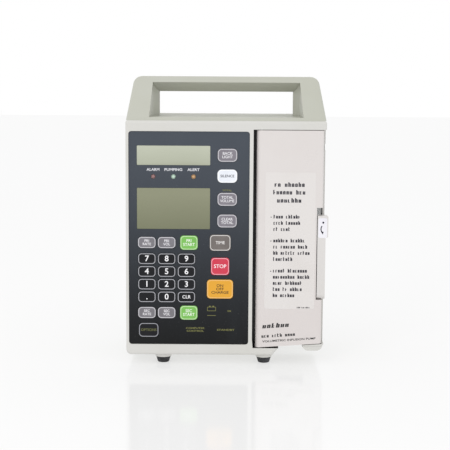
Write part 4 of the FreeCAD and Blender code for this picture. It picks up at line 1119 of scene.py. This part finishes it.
@dataclass
class PumpBay:
    """What shows behind the open door: the channel plate, fingers, sensors, pressure plate and springs."""

    wire: float = 0.9
    turns: float = 5.5
    steps: int = 240
    around: int = 10
    flat_share: float = 0.14
    travel: float = 1.5

    def build(self) -> None:
        """Dresses the bay and winds the springs."""
        door = Box.of("door_cover")
        case = Box.of("front_case")
        # painted shade: left of the door's edge the channel plate turns near-black, standing in for the shade
        # in the gap beside the door
        margin = Box(case.left, door.left + 1.6, case.front, case.back + 1.0, case.bottom, case.top)
        channel = MouldedPlastic("channel_plastic", "C9CCCC", "70716E", "BFC2C0", 0.36,
                                 lining=margin)
        dress(channel.material(), "tube_plate")
        dress(MouldedPlastic("acetal", "EFEDE4", "8B8878", "E2DFD2", 0.26, 0.1).material(),
              "pump_fingers")
        dress(MouldedPlastic("sensor_plastic", "2E3034", "15161A", "3A3C40", 0.3).material(),
              "tube_sensors")
        steel = Metal("plate_steel", "CDCECF", "98979A", Working.BRUSHED_UPWARDS, 0.22).material()
        dress(steel, "pressure_plate", "tube_clamp")
        dress(Metal("pin_steel", "C4C5C6", "807E7A", Working.TURNED_ON_Z).material(), "hinge_pins")
        self._springs()

    def _springs(self) -> None:
        """Winds the two springs: a circle of wire carried along a helix whose end turns lie flat."""
        sleeves = Box.of("pressure_springs")
        outer = (sleeves.right - sleeves.left) / 2
        coil = outer - self.wire / 2
        length = sleeves.back - sleeves.front - self.wire
        t = np.linspace(0, 1, self.steps)
        angle = 2 * math.pi * self.turns * t
        eased = np.clip((t - self.flat_share) / (1 - 2 * self.flat_share), 0, 1)
        along = sleeves.front + self.wire / 2 + length * eased
        n = self.around
        around = np.linspace(0, 2 * math.pi, n, endpoint=False)
        radius = coil + self.wire / 2 * np.cos(around)[None, :]
        offset = self.wire / 2 * np.sin(around)[None, :]
        shell = Shell()
        for z in (sleeves.bottom + outer, sleeves.top - outer):
            points = np.stack([
                (sleeves.centre[0] + radius * np.cos(angle)[:, None]) * MM,
                (along[:, None] + offset) * MM,
                (z + radius * np.sin(angle)[:, None]) * MM,
            ], -1).reshape(-1, 3)
            ends = [list(range(n)), list(range(self.steps * n - 1, (self.steps - 1) * n - 1, -1))]
            shell.add(points, grid_faces(self.steps, n) + ends)
        steel = Metal("spring_steel", "B8B9BC", "6E6C6A", Working.CAST, 0.25).material()
        coils = shell.piece("pressure_coils", "door", [steel], smooth=True)
        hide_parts("pressure_springs")
        sleeves.centre[0] * MM
        sleeves.front * MM
        sleeves.centre[1] * MM
        1 - self.travel / (sleeves.back - sleeves.front)
        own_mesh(coils)


@dataclass
class Back:
    """The pole clamp, the mains inlet, the screws and the rating plate."""

    plate_width: float = 62.0
    plate_height: float = 34.0
    plate_place: Pair = (150.0, 46.0)
    plate_thick: float = 0.2
    plate_ink: float = 0.17
    rows: tuple = ((5, 7, 4), (6, 3, 8, 2), (4, 4, 9), (7, 5, 3, 4), (3, 8, 6))

    def build(self) -> None:
        """Dresses the back and adds its rating plate."""
        cast = Metal("clamp_casting", "B4B5B4", "8A8A86", Working.CAST, 0.42).material()
        dress(cast, "clamp_bracket")
        dress(Metal("screw_steel", "C9CACB", "8D8B86", Working.TURNED_ON_X, 0.24).material(),
              "clamp_screw", "case_screws")
        dress(MouldedPlastic("knob_plastic", "26272A", "101113", "33353A", 0.38).material(),
              "clamp_knob", "power_inlet")
        dress(Rubber("pad_rubber", "2A2B2C", "4E4F50").material(), "clamp_pad")
        self._rating_plate()

    def _rating_plate(self) -> None:
        """Adds a foil plate with lines of dummy print to the back, drawn on the front and turned round."""
        case = Box.of("rear_case")
        foil = Metal("rating_foil", "C9CACC", "A9AAAD", Working.BRUSHED_UPWARDS, 0.34).material()
        ink = Ink("rating_ink", "26272A", "4A4B50").material()
        centre = (case.left + self.plate_place[0], case.bottom + self.plate_place[1])
        shell = Shell()
        half = (self.plate_width / 2, self.plate_height / 2)
        plate(shell, rounded_loop(*half, 2.0), centre, PASTED, self.plate_thick)
        outline(shell, (half[0] - 1.6, half[1] - 1.6), 1.2, 0.35, centre, -self.plate_ink, 1)
        rng = np.random.default_rng(5)
        for i, words in enumerate(self.rows):
            low, high = dummy_words(rng, words, centre[0] - 27.0, centre[1] + 9.0 - 5.0 * i, 1.75, 2.2)
            bars(shell, low, high, -self.plate_ink, 1)
        for points in shell.points:
            points[:, 0] = 2 * centre[0] * MM - points[:, 0]
            points[:, 1] = case.back * MM - points[:, 1]
        shell.piece("rating_plate", "casing", [foil, ink])


@dataclass
class Insides:
    """Boards, battery, transformer and drive inside the casing."""

    def build(self) -> None:
        """Dresses the inner parts."""
        brushed, turned = Working.BRUSHED_UPWARDS, Working.TURNED_ON_Z
        for finish, *nodes in (
            (CircuitBoard("board_lacquer"), "display_board", "main_board"),
            (MouldedPlastic("battery_case", "3A3C42", "1B1C1F", "45474E", 0.4), "battery_pack"),
            (Metal("core_steel", "77787C", "4B4A4E", brushed, 0.5), "power_transformer"),
            (Metal("frame_alloy", "C8C9CA", "9FA0A2", brushed, 0.35), "pump_frame"),
            (Metal("bearing_steel", "D4D5D6", "9A9998", turned, 0.16), "camshaft", "camshaft_bearings"),
            (Metal("motor_steel", "8E9094", "5E5F63", Working.CAST, 0.4), "stepper_motor"),
            (Metal("pulley_brass", "D8B45C", "8A6A30", turned, 0.25), "motor_pulley"),
            (Rubber("belt_rubber", "1F2021", "3A3B3C"), "drive_belt"),
        ):
            dress(finish.material(), *nodes)


@dataclass
class Studio:
    """A white floor with a faint reflection, two soft lights and the camera."""

    eye_back: float = 1190.0
    eye_side: float = -2.0
    eye_height: float = 294.7
    pitch: float = 7.4
    roll: float = 0.35
    lens: float = 97.96
    sensor: float = 36.0
    far: float = 30.0
    aim_height: float = 130.0
    floor_reach: float = 6.0
    mirror_share: float = 0.10
    glow_share: float = 0.68

    def build(self) -> None:
        """Sets the stage."""
        self._floor()
        self._world()
        self._light("key", (-650, -1250, 900), 500, 3.2, (1.0, 0.99, 0.97))
        self._light("fill", (1100, -1100, 400), 700, 0.8, (0.98, 0.98, 1.0))
        self._camera()

    @staticmethod
    def _world() -> None:
        """Lights the surroundings evenly white."""
        world = bpy.data.worlds.new("surround")
        world.use_nodes = True
        ground = world.node_tree.nodes["Background"]
        ground.inputs["Color"].default_value = (1.0, 1.0, 1.0, 1.0)
        ground.inputs["Strength"].default_value = 1.0
        bpy.context.scene.world = world
        bpy.context.scene.view_settings.view_transform = "Standard"

    def _floor(self) -> None:
        """Adds the floor: a wide white sheet, mostly matt, with a small share of mirror."""
        tree = Tree("floor_white")
        clouds = tree.noise(3.0, 3.0)
        matt = tree.add("BsdfDiffuse", {"Color": (0.93, 0.93, 0.93, 1.0)})
        glow = tree.add("Emission", {"Color": (1.0, 1.0, 1.0, 1.0), "Strength": 0.96})
        lit = tree.add("MixShader", {0: self.glow_share + 0.02 * clouds, 1: matt.outputs[0],
                                     2: glow.outputs[0]})
        sheen = tree.add("BsdfGlossy", {"Color": (1.0, 1.0, 1.0, 1.0), "Roughness": 0.10})
        both = tree.add("MixShader", {0: self.mirror_share + 0.02 * clouds, 1: lit.outputs[0],
                                      2: sheen.outputs[0]})
        tree.add("OutputMaterial", {"Surface": both.outputs[0]})
        mesh = bpy.data.meshes.new("floor")
        reach = self.floor_reach
        corners = [(-reach, -reach, 0), (reach, -reach, 0), (reach, reach, 0), (-reach, reach, 0)]
        mesh.from_pydata(corners, [], [(0, 1, 2, 3)])
        mesh.materials.append(tree.material)
        floor = bpy.data.objects.new("floor", mesh)
        bpy.context.scene.collection.objects.link(floor)

    def _light(self, name: str, place: Triple, size: float, power: float, colour: Triple) -> None:
        """Adds a square soft light that faces the pump.

        Args:
            name: the light's name.
            place: where it hangs, in millimetres.
            size: the length of its side.
            power: its power in watts.
            colour: its colour.
        """
        lamp = bpy.data.lights.new(name, "AREA")
        lamp.shape = "SQUARE"
        lamp.size = size * MM
        lamp.energy = power
        lamp.color = colour
        hung = bpy.data.objects.new(name, lamp)
        hung.location = [v * MM for v in place]
        aim = Vector((0, 0, self.aim_height * MM)) - hung.location
        hung.rotation_euler = aim.to_track_quat("-Z", "Y").to_euler()
        bpy.context.scene.collection.objects.link(hung)

    def _camera(self) -> None:
        """Adds the camera in front of the pump, looking slightly down."""
        data = bpy.data.cameras.new("camera")
        data.lens = self.lens
        data.sensor_width = self.sensor
        data.clip_end = self.far
        camera = bpy.data.objects.new("camera", data)
        face = Box.of("front_case").front
        camera.location = (self.eye_side * MM, (face - self.eye_back) * MM, self.eye_height * MM)
        turn = Euler((math.radians(90 - self.pitch), 0, 0)).to_matrix()
        tilt = Euler((0, 0, math.radians(self.roll))).to_matrix()
        camera.rotation_euler = (turn @ tilt).to_euler()
        bpy.context.scene.collection.objects.link(camera)
        bpy.context.scene.camera = camera


def main() -> None:
    """Builds every sub-assembly in order, then the stage."""
    logging.basicConfig(level=logging.INFO, format="%(message)s")
    for assembly in (Casing(), Keypad(), Displays(), Door(), Latch(), PumpBay(), Back(), Insides(), Studio()):
        log.info("building %s", type(assembly).__name__)
        assembly.build()


if __name__ == "__main__":
    main()
